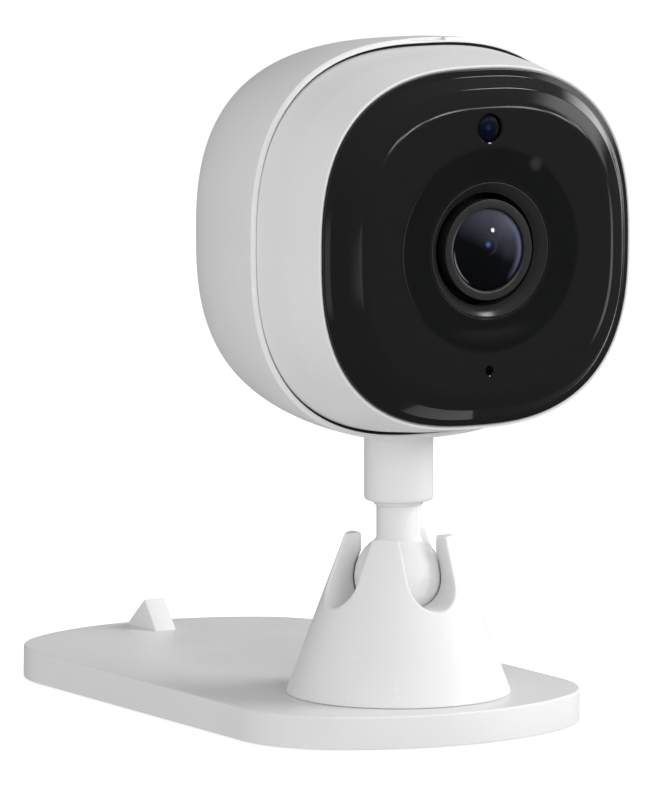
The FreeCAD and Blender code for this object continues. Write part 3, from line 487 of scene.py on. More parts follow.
def window_material():
    """Smoked acrylic: the emitter board shows faintly behind it as a darker band with paler marks."""
    m = Nodes("smoked_acrylic")
    distance = radial_distance(m, 0.0, LENS_Z)
    inside = m.spread(distance, 1.0, 0.0, BAND_OUTER - 0.7, BAND_OUTER)
    outside = m.spread(distance, 0.0, 1.0, BAND_INNER, BAND_INNER + 0.4)
    band = multiplied(m, inside, outside)
    broken = multiplied(m, band, m.spread(m.noise(0.12, 3.0), 0.8, 1.0))
    colour = m.blend(broken, WINDOW_COLOUR, BAND_COLOUR)
    colour = m.blend(sector(m, 13.7, 2.2, -88.0, 24.0), colour, SPOT_COLOUR)
    colour = m.blend(sector(m, ARC_RADIUS, 0.2, 178.0, 42.0), colour, ARC_COLOUR)
    turn = math.radians(SPOT_TURN)
    x, z = SPOT_RADIUS * math.cos(turn), LENS_Z + SPOT_RADIUS * math.sin(turn)
    spot = m.spread(radial_distance(m, x, z), 1.0, 0.0, 0.3, 1.5)
    colour = m.blend(spot, colour, ARC_COLOUR)
    dust = m.spread(m.noise(2.4, 2.0, 0.4), 0.0, 0.35, 0.66, 0.8)
    colour = m.blend(dust, colour, DUST_COLOUR)
    m.link(colour, m.shader.inputs["Base Color"])
    m.link(m.spread(m.noise(0.09, 5.0, 0.65), 0.05, 0.11), m.shader.inputs["Roughness"])
    m.bump(m.noise(0.045, 2.0), 0.12, 0.05)
    m.set(**{"Specular IOR Level": 0.42})
    return m.material


def front_glass_material():
    """Dark coated front glass with painted light: a painted reflection, paler and bluer towards its
    upper right, a painted rim reflection, painted arc highlights and painted glints.
    """
    m = Nodes("coated_front_glass")
    # Painted reflection: the glass is painted paler and bluer towards its upper right, broken up a
    # little by noise.
    shift = m.add("ShaderNodeVectorMath", operation="SUBTRACT")
    shift.inputs[1].default_value = (0.0, 0.0, LENS_Z * MM)
    m.link(m.place.outputs["Object"], shift.inputs[0])
    lean = m.add("ShaderNodeVectorMath", operation="DOT_PRODUCT")
    lean.inputs[1].default_value = (0.45 / MM, 0.0, 0.9 / MM)
    m.link(shift.outputs[0], lean.inputs[0])
    painted_reflection = multiplied(m, m.spread(lean.outputs["Value"], 0.0, 1.0, -0.5, 6.6),
                       m.spread(m.noise(0.35, 3.0), 0.8, 1.0))
    colour = m.blend(painted_reflection, GLASS_DARK, GLASS_PAINTED_REFLECTION)
    # Painted reflection: a lavender-blue band along the glass's right rim.
    colour = m.blend(sector(m, 6.2, 1.1, 5.0, 60.0), colour, GLASS_RIM_REFLECTION)
    # Painted highlight: a thin bright arc at the glass's lower-left edge.
    colour = m.blend(sector(m, 6.4, 0.16, 208.0, 30.0), colour, GLASS_ARC_HIGHLIGHT)
    across, up = BLUE_GLINT_CENTRE
    # Painted highlight: a dim thin arc round the blue glint.
    arc = sector(m, 1.5, 0.25, 10.0, 110.0, across, LENS_Z + up - 0.2)
    colour = m.blend(arc, colour, GLINT_ARC_HIGHLIGHT)
    # Painted glint: a small blue spot near the middle of the glass.
    blue_glint = m.spread(radial_distance(m, across, LENS_Z + up), 1.0, 0.0, 0.15, 0.6)
    colour = m.blend(blue_glint, colour, BLUE_GLINT)
    # Painted highlight: a small white spot above the lens's middle.
    across, up = GLINT_SPOT
    glint = m.spread(radial_distance(m, across, LENS_Z + up), 1.0, 0.0, 0.22, 0.42)
    colour = m.blend(glint, colour, GLINT)
    m.link(colour, m.shader.inputs["Base Color"])
    m.link(m.spread(m.noise(0.9, 4.0), 0.24, 0.30), m.shader.inputs["Roughness"])
    m.bump(m.noise(0.4, 2.0), 0.05, 0.01)
    m.set(**{"Specular IOR Level": 0.05})
    return m.material


def sensor_material():
    """Dark navy front of the light guide with a painted blue glint at its middle."""
    m = Nodes("guide_blue")
    tone = m.spread(m.noise(0.9, 3.0), 0.0, 1.0)
    colour = m.blend(tone, (0.001, 0.0015, 0.006), (0.002, 0.003, 0.010))
    # Painted glint: a small blue spot near the middle of the guide's front.
    glint = m.spread(radial_distance(m, -0.1, GUIDE_Z + 0.1), 1.0, 0.0, 0.2, 0.6)
    colour = m.blend(glint, colour, (0.008, 0.018, 0.085))
    m.link(colour, m.shader.inputs["Base Color"])
    m.link(m.spread(m.noise(1.4, 4.0), 0.22, 0.30), m.shader.inputs["Roughness"])
    m.bump(m.noise(0.8, 2.0), 0.05, 0.01)
    m.set(**{"Specular IOR Level": 0.12})
    return m.material


def board_material():
    """Green solder mask with lighter copper tracks under it."""
    m = Nodes("circuit_board")
    tracks = m.add("ShaderNodeTexBrick")
    tracks.inputs["Scale"].default_value = 0.35 / MM
    tracks.inputs["Mortar Size"].default_value = 0.03
    m.link(m.place.outputs["Object"], tracks.inputs["Vector"])
    colour = m.blend(tracks.outputs["Fac"], (0.012, 0.09, 0.035), (0.03, 0.17, 0.06))
    m.link(colour, m.shader.inputs["Base Color"])
    m.link(m.spread(m.noise(0.5, 4.0), 0.28, 0.45), m.shader.inputs["Roughness"])
    m.bump(m.noise(1.5, 3.0), 0.3, 0.03)
    return m.material


def mesh_material():
    """Woven acoustic cloth."""
    m = Nodes("speaker_cloth")
    weave = m.add("ShaderNodeTexChecker")
    weave.inputs["Scale"].default_value = 3.0 / MM
    m.link(m.place.outputs["Object"], weave.inputs["Vector"])
    m.link(m.blend(weave.outputs["Fac"], (0.012, 0.012, 0.013), (0.04, 0.04, 0.042)),
           m.shader.inputs["Base Color"])
    m.link(m.spread(m.noise(0.7, 3.0), 0.7, 0.9), m.shader.inputs["Roughness"])
    m.bump(weave.outputs["Fac"], 0.5, 0.04)
    return m.material


white = moulded("white_plastic_moulded", WHITE_LIGHT, WHITE_DARK, 0.36, 0.46, wear=(0.86, 0.86, 0.855))
white_plain = moulded("white_plastic_frame", WHITE_LIGHT, WHITE_DARK, 0.36, 0.46)
ball_white = moulded("white_plastic_polished", WHITE_LIGHT, WHITE_DARK, 0.24, 0.34, depth=0.006)
black_plain = moulded("black_plastic_frame", (0.018, 0.018, 0.019), (0.012, 0.012, 0.013), 0.35, 0.5)
satin_black = moulded("black_anodised", (0.026, 0.026, 0.027), (0.018, 0.018, 0.019), 0.18, 0.28,
                      9.0, 0.006)
rubber = moulded("pad_rubber", (0.05, 0.05, 0.052), (0.03, 0.03, 0.032), 0.7, 0.9, 3.0, 0.03, 0.3)
seat_rubber = moulded("seat_rubber_soft", (0.16, 0.16, 0.165), (0.11, 0.11, 0.115), 0.6, 0.8,
                      4.0, 0.02, 0.3)
foam = moulded("seal_foam", (0.02, 0.02, 0.02), (0.01, 0.01, 0.01), 0.85, 1.0, 2.0, 0.08, 0.2)
chip = moulded("chip_case", (0.02, 0.02, 0.021), (0.013, 0.013, 0.014), 0.5, 0.65, 5.0, 0.01)
flex = moulded("flex_film", (0.5, 0.21, 0.05), (0.4, 0.15, 0.035), 0.3, 0.42, 4.0, 0.01)
emitter = moulded("emitter_resin", (0.10, 0.085, 0.11), (0.06, 0.05, 0.075), 0.08, 0.16, 3.0, 0.004)
steel = brushed("stamped_steel", (0.62, 0.62, 0.63), (0.45, 0.45, 0.46), 0.25, 0.42)
screw_steel = brushed("screw_steel_zinc", (0.55, 0.55, 0.57), (0.38, 0.38, 0.4), 0.22, 0.38,
                      (1.0, 1.0, 0.1))
ballast_steel = brushed("ballast_sheet", (0.34, 0.33, 0.32), (0.22, 0.215, 0.21), 0.4, 0.6)
front_glass = front_glass_material()
inner_glass = clear_glass("coated_inner_glass", (0.93, 0.95, 1.0), 105.0)
filter_glass = clear_glass("filter_pane", (0.55, 0.75, 0.8))
clear_plastic = clear_glass("guide_plastic", (0.86, 0.88, 0.95))
window_dark = window_material()
sensor_blue = sensor_material()
circuit = board_material()
cloth = mesh_material()

BY_SLOT = {
    "white_plastic": white_plain,
    "black_window": window_dark,
    "black_plastic": black_plain,
    "lens_glass": inner_glass,
    "clear_plastic": clear_plastic,
    "filter_glass": filter_glass,
    "rubber": rubber,
    "seat_rubber": seat_rubber,
    "steel": steel,
    "ballast_steel": ballast_steel,
    "screw_steel": screw_steel,
    "circuit_board": circuit,
    "chip": chip,
    "emitter": emitter,
    "foam": foam,
    "mesh": cloth,
    "flex": flex,
}


def dress_frame():
    """Gives every CAD node the finish of its slot in the record."""
    for row in frame["record"]["subparts"]:
        mesh = frame["nodes"][row["node"]].data
        mesh.materials.clear()
        mesh.materials.append(BY_SLOT[row["material_slot"]])


# Head -------------------------------------------------
def shell_curve(inset, steps=44):
    """Outer line of the rear shell moved in by inset: a quarter ellipse from rim to flat back."""
    depth = SHELL_BACK - PARTING
    fall = SHELL_HALF - SHELL_BACK_HALF
    line = []
    for step in range(steps + 1):
        part = math.sin(math.pi / 2 * step / steps)
        half = SHELL_BACK_HALF + fall * math.sqrt(max(0.0, 1 - part * part)) - inset
        line.append(Vector((half, PARTING + depth * part - inset * part)))
    return line


def head_underside(x, y):
    """Height of the head's outer surface below the lens axis at x and y."""
    part = min(1.0, max(0.0, (y - PARTING) / (SHELL_BACK - PARTING)))
    half = SHELL_BACK_HALF + (SHELL_HALF - SHELL_BACK_HALF) * math.sqrt(1 - part * part)
    drop = (1 - min(1.0, abs(x) / half) ** SQUARE_POWER) ** (1 / SQUARE_POWER)
    return LENS_Z - half * drop


def add_collar(bm):
    """Collar with a rounded foot and lip, flaring to meet the head's underside all round."""
    bore, inside = POST_RADIUS + 0.05, FLARE_TOP + 1.2
    foot = round_corners(
        [(bore, SHELL_LOW.z + 0.2), (bore + 0.15, SHELL_LOW.z), (LIP_RADIUS, SHELL_LOW.z),
         (LIP_RADIUS, COLLAR_BOTTOM), (COLLAR_RADIUS, COLLAR_BOTTOM), (COLLAR_RADIUS, FLARE_BOTTOM)],
        [0, 0.08, 0.1, 0.12, COLLAR_ROUND, 0], steps=8)
    flare = round_corners(
        [(COLLAR_RADIUS, FLARE_BOTTOM), (COLLAR_RADIUS, FLARE_TOP), (FLARE_RADIUS, FLARE_TOP)],
        [0, 3.0, 0], steps=12)
    inner = [(FLARE_RADIUS, inside), (bore, inside)]
    loops = []
    for radius, z in [*foot, *flare[1:], *inner]:
        loop = circle_up(radius, z)
        share = min(1.0, max(0.0, (z - FLARE_BOTTOM) / (FLARE_TOP - FLARE_BOTTOM)))
        for point in loop:
            point.z += share * (head_underside(point.x, point.y) - FLARE_TOP)
            point.z = min(point.z, FLARE_TOP + 1.6)
        loops.append(loop)
    add_loops(bm, loops, join_ends=True)


def back_openings():
    """Cutting tools for the sound holes, the power and card openings and the button."""
    bm = bmesh.new()
    low_y, high_y = SHELL_BACK - 3.5, SHELL_BACK + 2
    hole = [(HOLE_RADIUS, low_y), (HOLE_RADIUS, SHELL_BACK - 0.12),
            (HOLE_RADIUS + 0.3, SHELL_BACK + 0.18), (HOLE_RADIUS + 0.3, high_y)]
    for row in range(-3, 4):
        for column in range(-4, 5):
            along = column + (row % 2) / 2
            rise = row * math.sqrt(3) / 2
            if math.hypot(along, rise) * HOLE_PITCH < HOLE_REACH:
                z = LENS_Z + SPEAKER_RISE + rise * HOLE_PITCH
                turned_along(bm, hole, along * HOLE_PITCH, z, count=20)
    usb_z = (USB_LOW.z + USB_HIGH.z) / 2
    card_z = (CARD_LOW.z + CARD_HIGH.z) / 2
    add_slot(bm, USB_MOUTH, usb_z, low_y, high_y)
    add_slot(bm, CARD_MOUTH, card_z, low_y, high_y)
    wide = BUTTON_HOLE + 0.35
    mouth = [(BUTTON_HOLE, low_y), (BUTTON_HOLE, SHELL_BACK - 0.15), (wide, SHELL_BACK + 0.2),
             (wide, high_y)]
    turned_along(bm, mouth, BUTTON_X, BUTTON_Z, count=48)
    return bm


def add_slot(bm, mouth, z, start, end):
    """A rounded oblong along Y whose mouth widens at the shell's back face."""
    wide, high, corner = mouth

    def outline(grow, y):
        half_wide, half_high = wide / 2 + grow, high / 2 + grow
        radius = min(corner + grow, half_high)
        loop = []
        for quarter, (sx, sz) in enumerate(((1, 1), (-1, 1), (-1, -1), (1, -1))):
            for step in range(9):
                turn = math.pi / 2 * (quarter + step / 8)
                loop.append(Vector((sx * (half_wide - radius) + radius * math.cos(turn), y,
                                    z + sz * (half_high - radius) + radius * math.sin(turn))))
        return loop

    loops = [outline(0, start), outline(0, SHELL_BACK - 0.2), outline(0.35, SHELL_BACK + 0.15),
             outline(0.35, end)]
    add_loops(bm, loops, cap_start=True, cap_end=True)


def make_rear_shell():
    """Cup with a bevelled rim, a shallow notch at its top, openings in its back and the collar."""
    outer = shell_curve(0.0)
    inner = list(reversed(shell_curve(SHELL_WALL)))
    rim_half = SHELL_HALF - RIM_WALL
    rim = round_corners(
        [tuple(inner[-1]), (SHELL_HALF - SHELL_WALL, PARTING + RIM_DEPTH),
         (rim_half, PARTING + RIM_DEPTH), (rim_half, PARTING), (SHELL_HALF - 0.42, PARTING),
         (SHELL_HALF, PARTING + 0.42), tuple(outer[3])],
        [0, 0.1, 0.1, 0.08, 0.06, 0.15, 0], steps=4)
    inner_line = [p for p in inner if p.y > PARTING + RIM_DEPTH + 0.4]
    outer_line = [p for p in outer if p.y > rim[-2].y + 0.3]
    profile = [*inner_line, *rim[1:-1], *outer_line]
    rings = (SHELL_BACK_HALF - 0.5, 25.0, 16.0, 10.0, 0.02)
    centre_back = [Vector((half, SHELL_BACK)) for half in rings]
    centre_inside = [Vector((0.02, inner[0].y)), Vector((6.0, inner[0].y))]
    loops = [rounded_square(p.x, p.x, p.y) for p in [*centre_inside, *profile, *centre_back]]
    bm = bmesh.new()
    add_loops(bm, loops, cap_start=True, cap_end=True)
    shell = make_object("rear_shell_moulded", bm)
    tools = back_openings()
    left, top = NOTCH_CENTRE - NOTCH_WIDTH / 2, LENS_Z + SHELL_HALF
    box_into(tools, (left, PARTING - 2, top - NOTCH_DEPTH),
             (left + NOTCH_WIDTH, PARTING + NOTCH_LENGTH, top + 2))
    cut_with(shell, tools)
    bm = bmesh.new()
    add_collar(bm)
    collar = make_object("collar_moulded", bm, 50)
    place_piece(collar, "head", [], white)
    return place_piece(shell, "head", ["rear_shell"], white)


def ring_height(y, half):
    """Half height of the ring for a half width: a little lower than wide towards the shell."""
    share = min(1.0, max(0.0, (y - RING_LOW.y) / (PARTING - RING_LOW.y)))
    return half - RING_SQUAT * share


def make_front_ring():
    """Ring curving from its lip round the window to a straight sleeve inside the rear shell."""
    front, rear = RING_LOW.y, RING_HIGH.y
    wide, lip = RING_WIDE, RING_LIP
    middle_y = (front + PARTING) / 2
    corners = [
        (lip, front), ((lip + wide) / 2 + 0.25, middle_y), (wide, PARTING), (wide, rear),
        (wide - 1.6, rear), (wide - 1.6, PARTING), (28.9, -18.0), (26.2, -20.2), (26.2, -22.05),
        (RING_SEAT, -22.05), (RING_SEAT, front + 0.3), (lip - 0.3, front + 0.02),
    ]
    radii = [0.22, 40.0, 8.0, 0.2, 0.2, 2.0, 0.5, 0.3, 0.1, 0.1, 0.05, 0.08]
    profile = round_corners(corners, radii, closed=True, steps=8)
    bm = bmesh.new()
    loops = [rounded_square(p.x, ring_height(p.y, p.x), p.y) for p in profile]
    add_loops(bm, loops, join_ends=True)
    ring = make_object("front_ring_moulded", bm)
    return place_piece(ring, "head", ["front_ring"], white)


def make_gap_shade_loop():
    """Black loop inside the gap between the ring and the rear shell's rim, in the foam finish: painted
    shade that makes the gap read dark.
    """
    near, far = PARTING + 0.55, PARTING + 2.2
    outer = SHELL_HALF - RIM_WALL - 0.03
    inner = RING_WIDE + 0.02
    high = ring_height(PARTING, inner)
    bm = bmesh.new()
    rows = [(outer, outer, near), (outer, outer, far), (inner, high, far), (inner, high, near)]
    loops = [rounded_square(wide, high, y) for wide, high, y in rows]
    add_loops(bm, loops, join_ends=True)
    # Painted shade: a black piece put in the gap to darken it.
    shade_loop = make_object("gap_shade_loop", bm, 40)
    return place_piece(shade_loop, "head", [], foam)


def make_front_window():
    """Window whose raised flat rounds into two slopes and a narrow rim, with its holes."""
    half, face, edge = WINDOW_HIGH.x + 0.2, WINDOW_LOW.y, WINDOW_LOW.y + 4.7
    corners = [
        (LENS_HOLE, face + 1.8), (LENS_HOLE, face), (WINDOW_FLAT, face),
        (WINDOW_SHOULDER, face + 1.22), (WINDOW_FOOT, face + 3.55), (half, face + 3.95),
        (half, edge + 1.8), (26.0, edge + 1.8),
        (24.6, edge + 0.4), (23.0, face + 1.8),
    ]
    radii = [0.05, 0.12, 4.5, 0.6, 0.5, 0.25, 0.1, 0.3, 0.3, 0.3]
    profile = round_corners(corners, radii, closed=True, steps=8)
    loops = []
    for p in profile:
        share = min(1.0, max(0.0, (p.x - 12.0) / 9.0))
        power = ROUND_POWER + (SQUARE_POWER - ROUND_POWER) * share
        loops.append(rounded_square(p.x, p.x, p.y, power))
    bm = bmesh.new()
    add_loops(bm, loops, join_ends=True)
    window = make_object("front_window_moulded", bm, 25)
    tools = bmesh.new()
    boot_z = (BOOT_LOW.z + BOOT_HIGH.z) / 2
    for z, radius in ((GUIDE_Z, SENSOR_HOLE), (boot_z, MICROPHONE_HOLE)):
        wide = radius + 0.22
        hole = [(wide, face - 1), (wide, face - 0.02), (radius, face + 0.2), (radius, face + 3)]
        turned_along(tools, hole, z=z, count=64)
    cut_with(window, tools)
    return place_piece(window, "head", ["front_window"], window_dark)


def make_lens_trim():
    """Bevelled ring round the lens, with a fine step at its inner edge."""
    outer = TRIM_HIGH.x - 1.35
    front = TRIM_LOW.y
    corners = [
        (outer, front), (outer, front + 2.0), (TRIM_FLANGE, front + 2.0), (TRIM_FLANGE, front + 2.5),
        (9.4, front + 2.5), (9.4, front + 1.62), (9.62, front + 1.45), (10.95, front + 0.1),
        (11.0, front),
    ]
    radii = [0.06, 0, 0.1, 0.1, 0.05, 0.05, 0.1, 0.05, 0.03]
    profile = round_corners(corners, radii, closed=True, steps=4)
    bm = bmesh.new()
    turned_along(bm, profile, join_ends=True, count=192)
    ring = make_object("lens_trim_turned", bm, 30)
    return place_piece(ring, "head", ["lens_trim_ring"], satin_black)


def make_lens_barrel():
    """Barrel with a flat front disc, slightly eased at the glass, and a ribbed bore."""
    face, rear = BARREL_LOW.y, BARREL_HIGH.y
    corners = [
        (BARREL_RADIUS, face), (7.2, face), (6.85, face + 0.06), (6.75, face + 2.25),
        (BARREL_BORE, face + 2.25),
    ]
    radii = [0.12, 0.06, 0.05, 0.02, 0.02]
    ribs = []
    steps = 14
    for step in range(steps):
        y = face + 2.8 + step * (rear - face - 3.4) / steps
        groove = BARREL_BORE + 0.25
        ribs += [(BARREL_BORE, y), (groove, y + 0.2), (groove, y + 0.35), (BARREL_BORE, y + 0.5)]
    tail = [(BARREL_BORE, rear), (7.0, rear), (7.0, face + 2.4), (BARREL_RADIUS, face + 2.4)]
    radii += [0] * len(ribs) + [0.1, 0.2, 0, 0.1]
    profile = round_corners(corners + ribs + tail, radii, closed=True, steps=4)
    bm = bmesh.new()
    turned_along(bm, profile, join_ends=True, count=160)
    barrel = make_object("lens_barrel_turned", bm, 30)
    return place_piece(barrel, "head", ["lens_barrel"], satin_black)


def make_front_lens():
    """Domed front glass with a hollow back, seated in the barrel."""
    radius, apex, curve = (GLASS_HIGH.x - GLASS_LOW.x) / 2, GLASS_LOW.y, GLASS_CURVE
    steps = 40
    dome = []
    for step in range(steps + 1):
        r = radius * step / steps
        dome.append((r, apex + curve - math.sqrt(curve**2 - r**2)))
    back_y = GLASS_HIGH.y
    hollow_radius, hollow_curve = 5.4, 8.2
    hollow = []
    for step in range(steps + 1):
        r = hollow_radius * (1 - step / steps)
        depth = math.sqrt(hollow_curve**2 - r**2) - math.sqrt(hollow_curve**2 - hollow_radius**2)
        hollow.append((r, back_y - depth * 0.55))
    bm = bmesh.new()
    turned_along(bm, [*dome, (radius, back_y), *hollow], count=128)
    glass = make_object("front_glass_ground", bm, 30)
    return place_piece(glass, "head", ["front_lens"], front_glass)


def make_inner_glass():
    """The two biconvex glasses further down the barrel."""
    steps = 24
    bm = bmesh.new()
    for middle in (BARREL_LOW.y + 5, BARREL_LOW.y + 9.5):
        profile = []
        for step in range(steps + 1):
            r = INNER_RADIUS * step / steps
            profile.append((r, middle - 1.4 + INNER_CURVE - math.sqrt(INNER_CURVE**2 - r**2)))
        profile += [(r, 2 * middle - y) for r, y in reversed(profile)]
        turned_along(bm, profile, count=96)
    glass = make_object("inner_glass_ground", bm, 30)
    return place_piece(glass, "head", ["inner_lenses"], inner_glass)


def make_light_guide():
    """Light guide whose dark front lens almost fills the upper hole."""
    face = WINDOW_LOW.y
    radius = (GUIDE_HIGH.x - GUIDE_LOW.x) / 2
    profile = [(0.0, face + 0.42), (1.2, face + 0.45), (1.9, face + 0.52), (2.2, face + 0.64),
               (2.3, face + 0.85), (2.3, face + 1.7), (radius, face + 1.9), (radius, GUIDE_HIGH.y)]
    bm = bmesh.new()
    turned_along(bm, profile, z=GUIDE_Z, count=64)
    guide = make_object("light_guide_moulded", bm, 40)
    return place_piece(guide, "head", ["light_guide"], sensor_blue)


def make_reset_button():
    """Button cap with a dished face."""
    back, front = BUTTON_HIGH.y, BUTTON_LOW.y
    profile = round_corners(
        [(0.0, back - 0.12), (0.9, back - 0.08), (1.5, back), (1.5, front + 1.4), (1.9, front + 1.4),
         (1.9, front + 0.4), (1.5, front + 0.4), (1.5, front), (0.0, front)],
        [0, 0.4, 0.18, 0.05, 0.05, 0.05, 0.05, 0.1, 0], steps=6)
    bm = bmesh.new()
    turned_along(bm, profile, BUTTON_X, BUTTON_Z, count=64)
    cap = make_object("reset_button_moulded", bm, 30)
    return place_piece(cap, "reset_button", ["reset_button"], ball_white)


# Stand ------------------------------------------------
def base_outline(inset, z, steps=20):
    """The base's outline moved in by inset: sides, corner arcs and a wide arc at each end."""
    across = BASE_HALF - CORNER_RADIUS
    reach = math.sqrt((TIP_RADIUS - CORNER_RADIUS) ** 2 - across**2)
    rear = BASE_HIGH.y - TIP_RADIUS + reach
    front = BASE_LOW.y + TIP_RADIUS - reach
    lean = math.atan2(reach, across)
    corner, tip = CORNER_RADIUS - inset, TIP_RADIUS - inset
    arcs = [
        (across, rear, corner, 0, lean),
        (0, rear - reach, tip, lean, math.pi - lean),
        (-across, rear, corner, math.pi - lean, math.pi),
        (-across, front, corner, math.pi, math.pi + lean),
        (0, front + reach, tip, math.pi + lean, 2 * math.pi - lean),
        (across, front, corner, 2 * math.pi - lean, 2 * math.pi),
    ]
    loop = []
    for x, y, radius, start, end in arcs:
        for step in range(steps):
            turn = start + (end - start) * step / (steps - 1)
            point = Vector((x + radius * math.cos(turn), y + radius * math.sin(turn), z))
            if loop and step == 0 and (point - loop[-1]).length < 1e-4:
                continue
            loop.append(point)
    return loop


def make_base_plate():
    """Tray with a softened top edge, hollow below, and the rest wedge on its top."""
    low, top = BASE_LOW.z, BASE_TOP
    under = top - 1.8
    corners = [(2.0, under), (1.8, under), (1.8, low + 0.02), (0.0, low), (0.0, top), (2.4, top)]
    profile = round_corners(corners, [0, 0.1, 0.12, 0.16, 0.4, 0], steps=6)
    loops = [base_outline(p.x, p.y) for p in profile]
    bm = bmesh.new()
    add_loops(bm, loops, cap_start=True, cap_end=True)
    plate = make_object("base_plate_moulded", bm, 30)
    bm = bmesh.new()
    slope = (BASE_HIGH.z - top) / (WEDGE_FAR - WEDGE_RIDGE) * 0.2
    side = [(WEDGE_NEAR + 0.35, top - 0.4), (WEDGE_FAR - 0.1, top - 0.4),
            (WEDGE_FAR - 0.8, top + slope), (WEDGE_RIDGE, BASE_HIGH.z), (WEDGE_NEAR + 0.95, top + 0.2)]
    rows = [[bm.verts.new((x, y, z)) for y, z in side] for x in (-WEDGE_HALF, WEDGE_HALF)]
    bm.faces.new(rows[0])
    bm.faces.new(list(reversed(rows[1])))
    for index in range(5):
        after = (index + 1) % 5
        bm.faces.new((rows[0][after], rows[0][index], rows[1][index], rows[1][after]))
    bmesh.ops.recalc_face_normals(bm, faces=bm.faces)
    bmesh.ops.bevel(bm, geom=list(bm.edges), offset=0.28, segments=4, affect="EDGES", profile=0.5)
    wedge = make_object("rest_wedge_moulded", bm, 40)
    place_piece(wedge, "stand", [], white)
    return place_piece(plate, "stand", ["base_plate"], white)


def make_socket_cone():
    """Slotted cone remeshed finely so that every edge of the fingers is softened."""
    foot = (CONE_HIGH.x - CONE_LOW.x) / 2
    top = CONE_HIGH.z
    bm = bmesh.new()
    turned_up(bm, [(foot, CONE_LOW.z), (CONE_TOP_RADIUS, top)])
    cone = make_object("socket_cone_moulded", bm)
    tools = bmesh.new()
    turned_up(tools, [(MOUTH_RADIUS, BALL_Z), (MOUTH_RADIUS, top + 8)])
    cut_with(cone, tools)
    tools = bmesh.new()
    bmesh.ops.create_uvsphere(tools, u_segments=96, v_segments=64, radius=BALL_RADIUS + SOCKET_GAP,
                              matrix=Matrix.Translation((0, 0, BALL_Z)))
    cut_with(cone, tools)
    tools = bmesh.new()
    turned_up(tools, [(SEAT_BORE, SEAT_BOTTOM), (SEAT_BORE, 22.0)])
    cut_with(cone, tools)
    half = SLOT_HALF
    for turn in (0.0, math.pi / 2):
        tools = bmesh.new()
        loops = []
        for along in (-26.0, 26.0):
            loop = []
            for step in range(33):
                angle = math.pi + math.pi * step / 32
                loop.append(Vector((half * math.cos(angle), along, BALL_Z + half * math.sin(angle))))
            loop += [Vector((half, along, top + 6)), Vector((-half, along, top + 6))]
            loops.append(loop)
        add_loops(tools, loops, cap_start=True, cap_end=True)
        bmesh.ops.rotate(tools, verts=tools.verts, matrix=Matrix.Rotation(turn, 3, "Z"))
        cut_with(cone, tools)
    cone.data.transform(Matrix.Scale(1 / MM, 4))
    remesh = cone.modifiers.new("remesh", "REMESH")
    remesh.mode = "VOXEL"
    remesh.voxel_size = CONE_VOXEL
    bake_modifiers(cone)
    bm = bmesh.new()
    bm.from_mesh(cone.data)
    for _ in range(5):
        bmesh.ops.smooth_vert(bm, verts=bm.verts, factor=0.5, use_axis_x=True, use_axis_y=True,
                              use_axis_z=True)
    for vert in bm.verts:
        vert.co.z = max(vert.co.z, CONE_LOW.z)
    bm.to_mesh(cone.data)
    bm.free()
    cone.data.transform(Matrix.Scale(MM, 4))
    cone.data.shade_smooth()
    return place_piece(cone, "stand", ["socket_cone"], white)


def make_ball_stud():
    """Ball and post with a small fillet between them."""
    top = STUD_HIGH.z
    meet = math.asin(POST_RADIUS / BALL_RADIUS)
    steps = 60
    profile = []
    for step in range(steps + 1):
        turn = math.pi - (math.pi - meet - 0.06) * step / steps
        profile.append((BALL_RADIUS * math.sin(turn), BALL_Z + BALL_RADIUS * math.cos(turn)))
    shoulder = BALL_Z + BALL_RADIUS * math.cos(meet)
    profile += [(POST_RADIUS + 0.1, shoulder + 0.12), (POST_RADIUS, shoulder + 0.45),
                (POST_RADIUS, top - 0.3), (POST_RADIUS - 0.3, top)]
    bm = bmesh.new()
    turned_up(bm, profile)
    stud = make_object("ball_stud_moulded", bm, 45)
    return place_piece(stud, "ball_stud", ["ball_stud"], ball_white)


def make_foot_pads():
    """Rubber pads with a rounded rim and a fine ring moulded into each face."""
    bm = bmesh.new()
    radius, top = PAD_RADIUS, PADS_HIGH.z
    corners = [(0.0, 0.12), (3.3, 0.12), (3.5, 0.0), (radius, 0.0), (radius, top), (0.0, top)]
    profile = round_corners(corners, [0, 0.05, 0.05, 0.22, 0.05, 0], steps=5)
    for x in (PADS_LOW.x + radius, PADS_HIGH.x - radius):
        for y in (PADS_LOW.y + radius, PADS_HIGH.y - radius):
            turned_up(bm, profile, x, y)
    turned_up(bm, profile)
    pads = make_object("foot_pads_moulded", bm, 40)
    return place_piece(pads, "stand", ["foot_pads"], rubber)


# Studio -----------------------------------------------
def direction(azimuth, elevation):
    a, e = math.radians(azimuth), math.radians(elevation)
    return Vector((math.sin(a) * math.cos(e), -math.cos(a) * math.cos(e), math.sin(e)))


def make_camera():
    data = bpy.data.cameras.new("view")
    data.lens = FOCAL
    data.sensor_width = 36.0
    data.clip_start, data.clip_end = 0.05, 60.0
    camera = bpy.data.objects.new("view", data)
    away = direction(AZIMUTH, ELEVATION)
    camera.location = TARGET + away * DISTANCE
    camera.rotation_euler = (-away).to_track_quat("-Z", "Y").to_euler()
    bpy.context.scene.collection.objects.link(camera)
    bpy.context.scene.camera = camera


def add_softbox(name, azimuth, elevation, distance, size, power):
    data = bpy.data.lights.new(name, "AREA")
    data.shape = "RECTANGLE"
    data.size, data.size_y = size
    data.energy = power
    lamp = bpy.data.objects.new(name, data)
    away = direction(azimuth, elevation)
    lamp.location = Vector((0, 0, 0.06)) + away * distance
    lamp.rotation_euler = (-away).to_track_quat("-Z", "Y").to_euler()
    lamp.visible_glossy = False
    bpy.context.scene.collection.objects.link(lamp)
    return lamp


